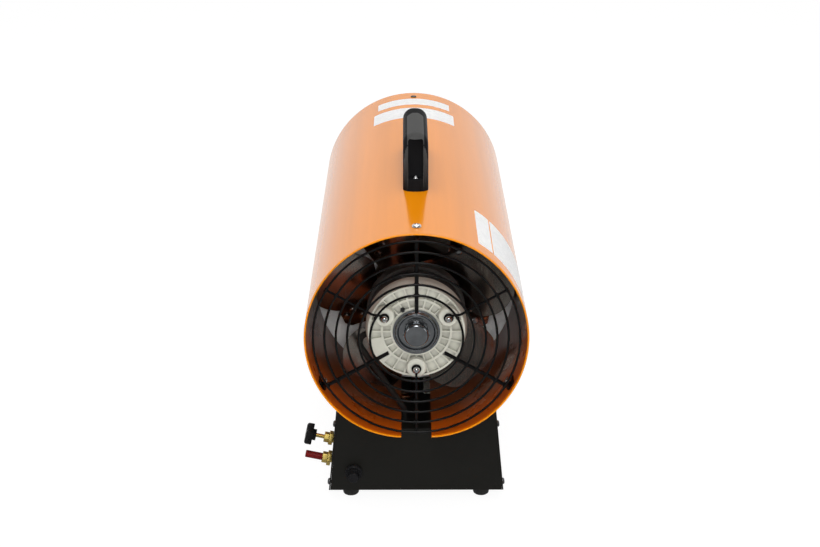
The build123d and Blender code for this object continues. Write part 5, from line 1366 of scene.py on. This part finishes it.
class HEATER_OT_stage(bpy.types.Operator):
    """Build the floor, the light and the camera"""

    bl_idname = "heater.stage"
    bl_label = "Stage"

    def execute(self, context):
        self.floor()
        self.world()
        self.lamps()
        self.camera()
        bpy.context.scene.view_settings.view_transform = "Standard"
        return {"FINISHED"}

    def floor(self):
        """A wide pale floor whose own light fades its shadows to white, mirrored darker in front."""
        deselect()
        bpy.ops.mesh.primitive_circle_add(vertices=96, radius=FLOOR_RADIUS, fill_type="NGON")
        floor = bpy.context.object
        floor.name = "studio_floor"
        look = Finish("studio_floor")
        look.set(Base_Color=bpy.context.scene.heater_stage.floor, Roughness=0.7)
        rays = look.add("ShaderNodeLightPath").outputs
        mirrored = look.ranged(look.along_y(look.place), 0.10, 1.0, -0.7, 0.5, "SMOOTHSTEP")
        white = look.add("ShaderNodeEmission")
        look.feed(white.inputs["Strength"], look.between(rays["Is Camera Ray"], mirrored, FLOOR_WHITE))
        seen = look.worked("MAXIMUM", rays["Is Camera Ray"], rays["Is Glossy Ray"])
        mix = look.add("ShaderNodeMixShader")
        look.feed(mix.inputs["Fac"], look.worked("MULTIPLY", seen, FLOOR_OWN_LIGHT))
        look.feed(mix.inputs[1], look.shader.outputs[0])
        look.feed(mix.inputs[2], white.outputs[0])
        look.feed(look.tree.nodes["Material Output"].inputs["Surface"], mix.outputs[0])
        floor.data.materials.append(look.material)

    def world(self):
        """White to the camera, dark in front and bright behind in reflections, softer as a light."""
        world = bpy.data.worlds.new("studio_world")
        bpy.context.scene.world = world
        world.use_nodes = True
        look = Tree(world.node_tree)
        background = look.tree.nodes["Background"]
        rays = look.add("ShaderNodeLightPath").outputs
        behind = look.along_y(look.add("ShaderNodeTexCoord").outputs["Generated"])
        mirrored = look.ranged(behind, 0.10, 0.90, -0.15, 0.55)
        light = look.ranged(behind, 0.30, 0.55, -0.4, 0.6)
        unseen = look.between(rays["Is Glossy Ray"], light, mirrored)
        look.feed(background.inputs["Color"], (1, 1, 1))
        look.feed(background.inputs["Strength"], look.between(rays["Is Camera Ray"], unseen, 1.0))

    def lamps(self):
        """Soft boxes overhead, in front and beside. One only fills, and one is only mirrored."""
        for name, place, target, width, power in LAMPS:
            lamp = bpy.data.lights.new(name, "AREA")
            lamp.shape = "SQUARE"
            lamp.size = width
            lamp.energy = power * bpy.context.scene.heater_stage.lamp
            holder = bpy.data.objects.new(name, lamp)
            bpy.context.scene.collection.objects.link(holder)
            holder.location = place
            holder.rotation_euler = (Vector(target) - Vector(place)).to_track_quat("-Z", "Y").to_euler()
            holder.visible_glossy = name != "front_fill"
            holder.visible_diffuse = name != "metal_highlight"

    def camera(self):
        """The photograph's view, from above the air inlet."""
        camera = bpy.data.cameras.new("photo_camera")
        camera.sensor_fit = "HORIZONTAL"
        camera.sensor_width = 36.0
        camera.lens = CAMERA_LENS
        camera.clip_start = 0.01
        camera.clip_end = 100
        holder = bpy.data.objects.new("photo_camera", camera)
        bpy.context.scene.collection.objects.link(holder)
        holder.location = CAMERA_PLACE
        holder.rotation_euler = (radians(90 - CAMERA_TILT), 0, radians(CAMERA_TURN))
        bpy.context.scene.camera = holder


class HEATER_PT_panel(bpy.types.Panel):
    """Buttons for the heater's looks"""

    bl_idname = "HEATER_PT_panel"
    bl_label = "Forced Air Heater"
    bl_space_type = "VIEW_3D"
    bl_region_type = "UI"
    bl_category = "Heater"

    def draw(self, context):
        for operator in OPERATORS:
            self.layout.operator(operator.bl_idname)


OPERATORS = (
    HEATER_OT_frame_finishes,
    HEATER_OT_shell,
    HEATER_OT_labels,
    HEATER_OT_guard,
    HEATER_OT_screws,
    HEATER_OT_dome_nuts,
    HEATER_OT_handle,
    HEATER_OT_castings,
    HEATER_OT_stage,
)
CLASSES = (HeaterColours, HeaterSizes, HeaterStage, *OPERATORS, HEATER_PT_panel)


def register():
    """Registers the classes and hangs the settings on the scene."""
    for kind in CLASSES:
        bpy.utils.register_class(kind)
    bpy.types.Scene.heater_colours = bpy.props.PointerProperty(type=HeaterColours)
    bpy.types.Scene.heater_sizes = bpy.props.PointerProperty(type=HeaterSizes)
    bpy.types.Scene.heater_stage = bpy.props.PointerProperty(type=HeaterStage)


def unregister():
    """Takes the settings and the classes away again."""
    del bpy.types.Scene.heater_stage
    del bpy.types.Scene.heater_sizes
    del bpy.types.Scene.heater_colours
    for kind in reversed(CLASSES):
        bpy.utils.unregister_class(kind)


def main():
    """Dresses the frame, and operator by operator."""
    register()
    for operator in OPERATORS:
        group, name = operator.bl_idname.split(".")
        getattr(getattr(bpy.ops, group), name)()


if __name__ == "__main__":
    main()
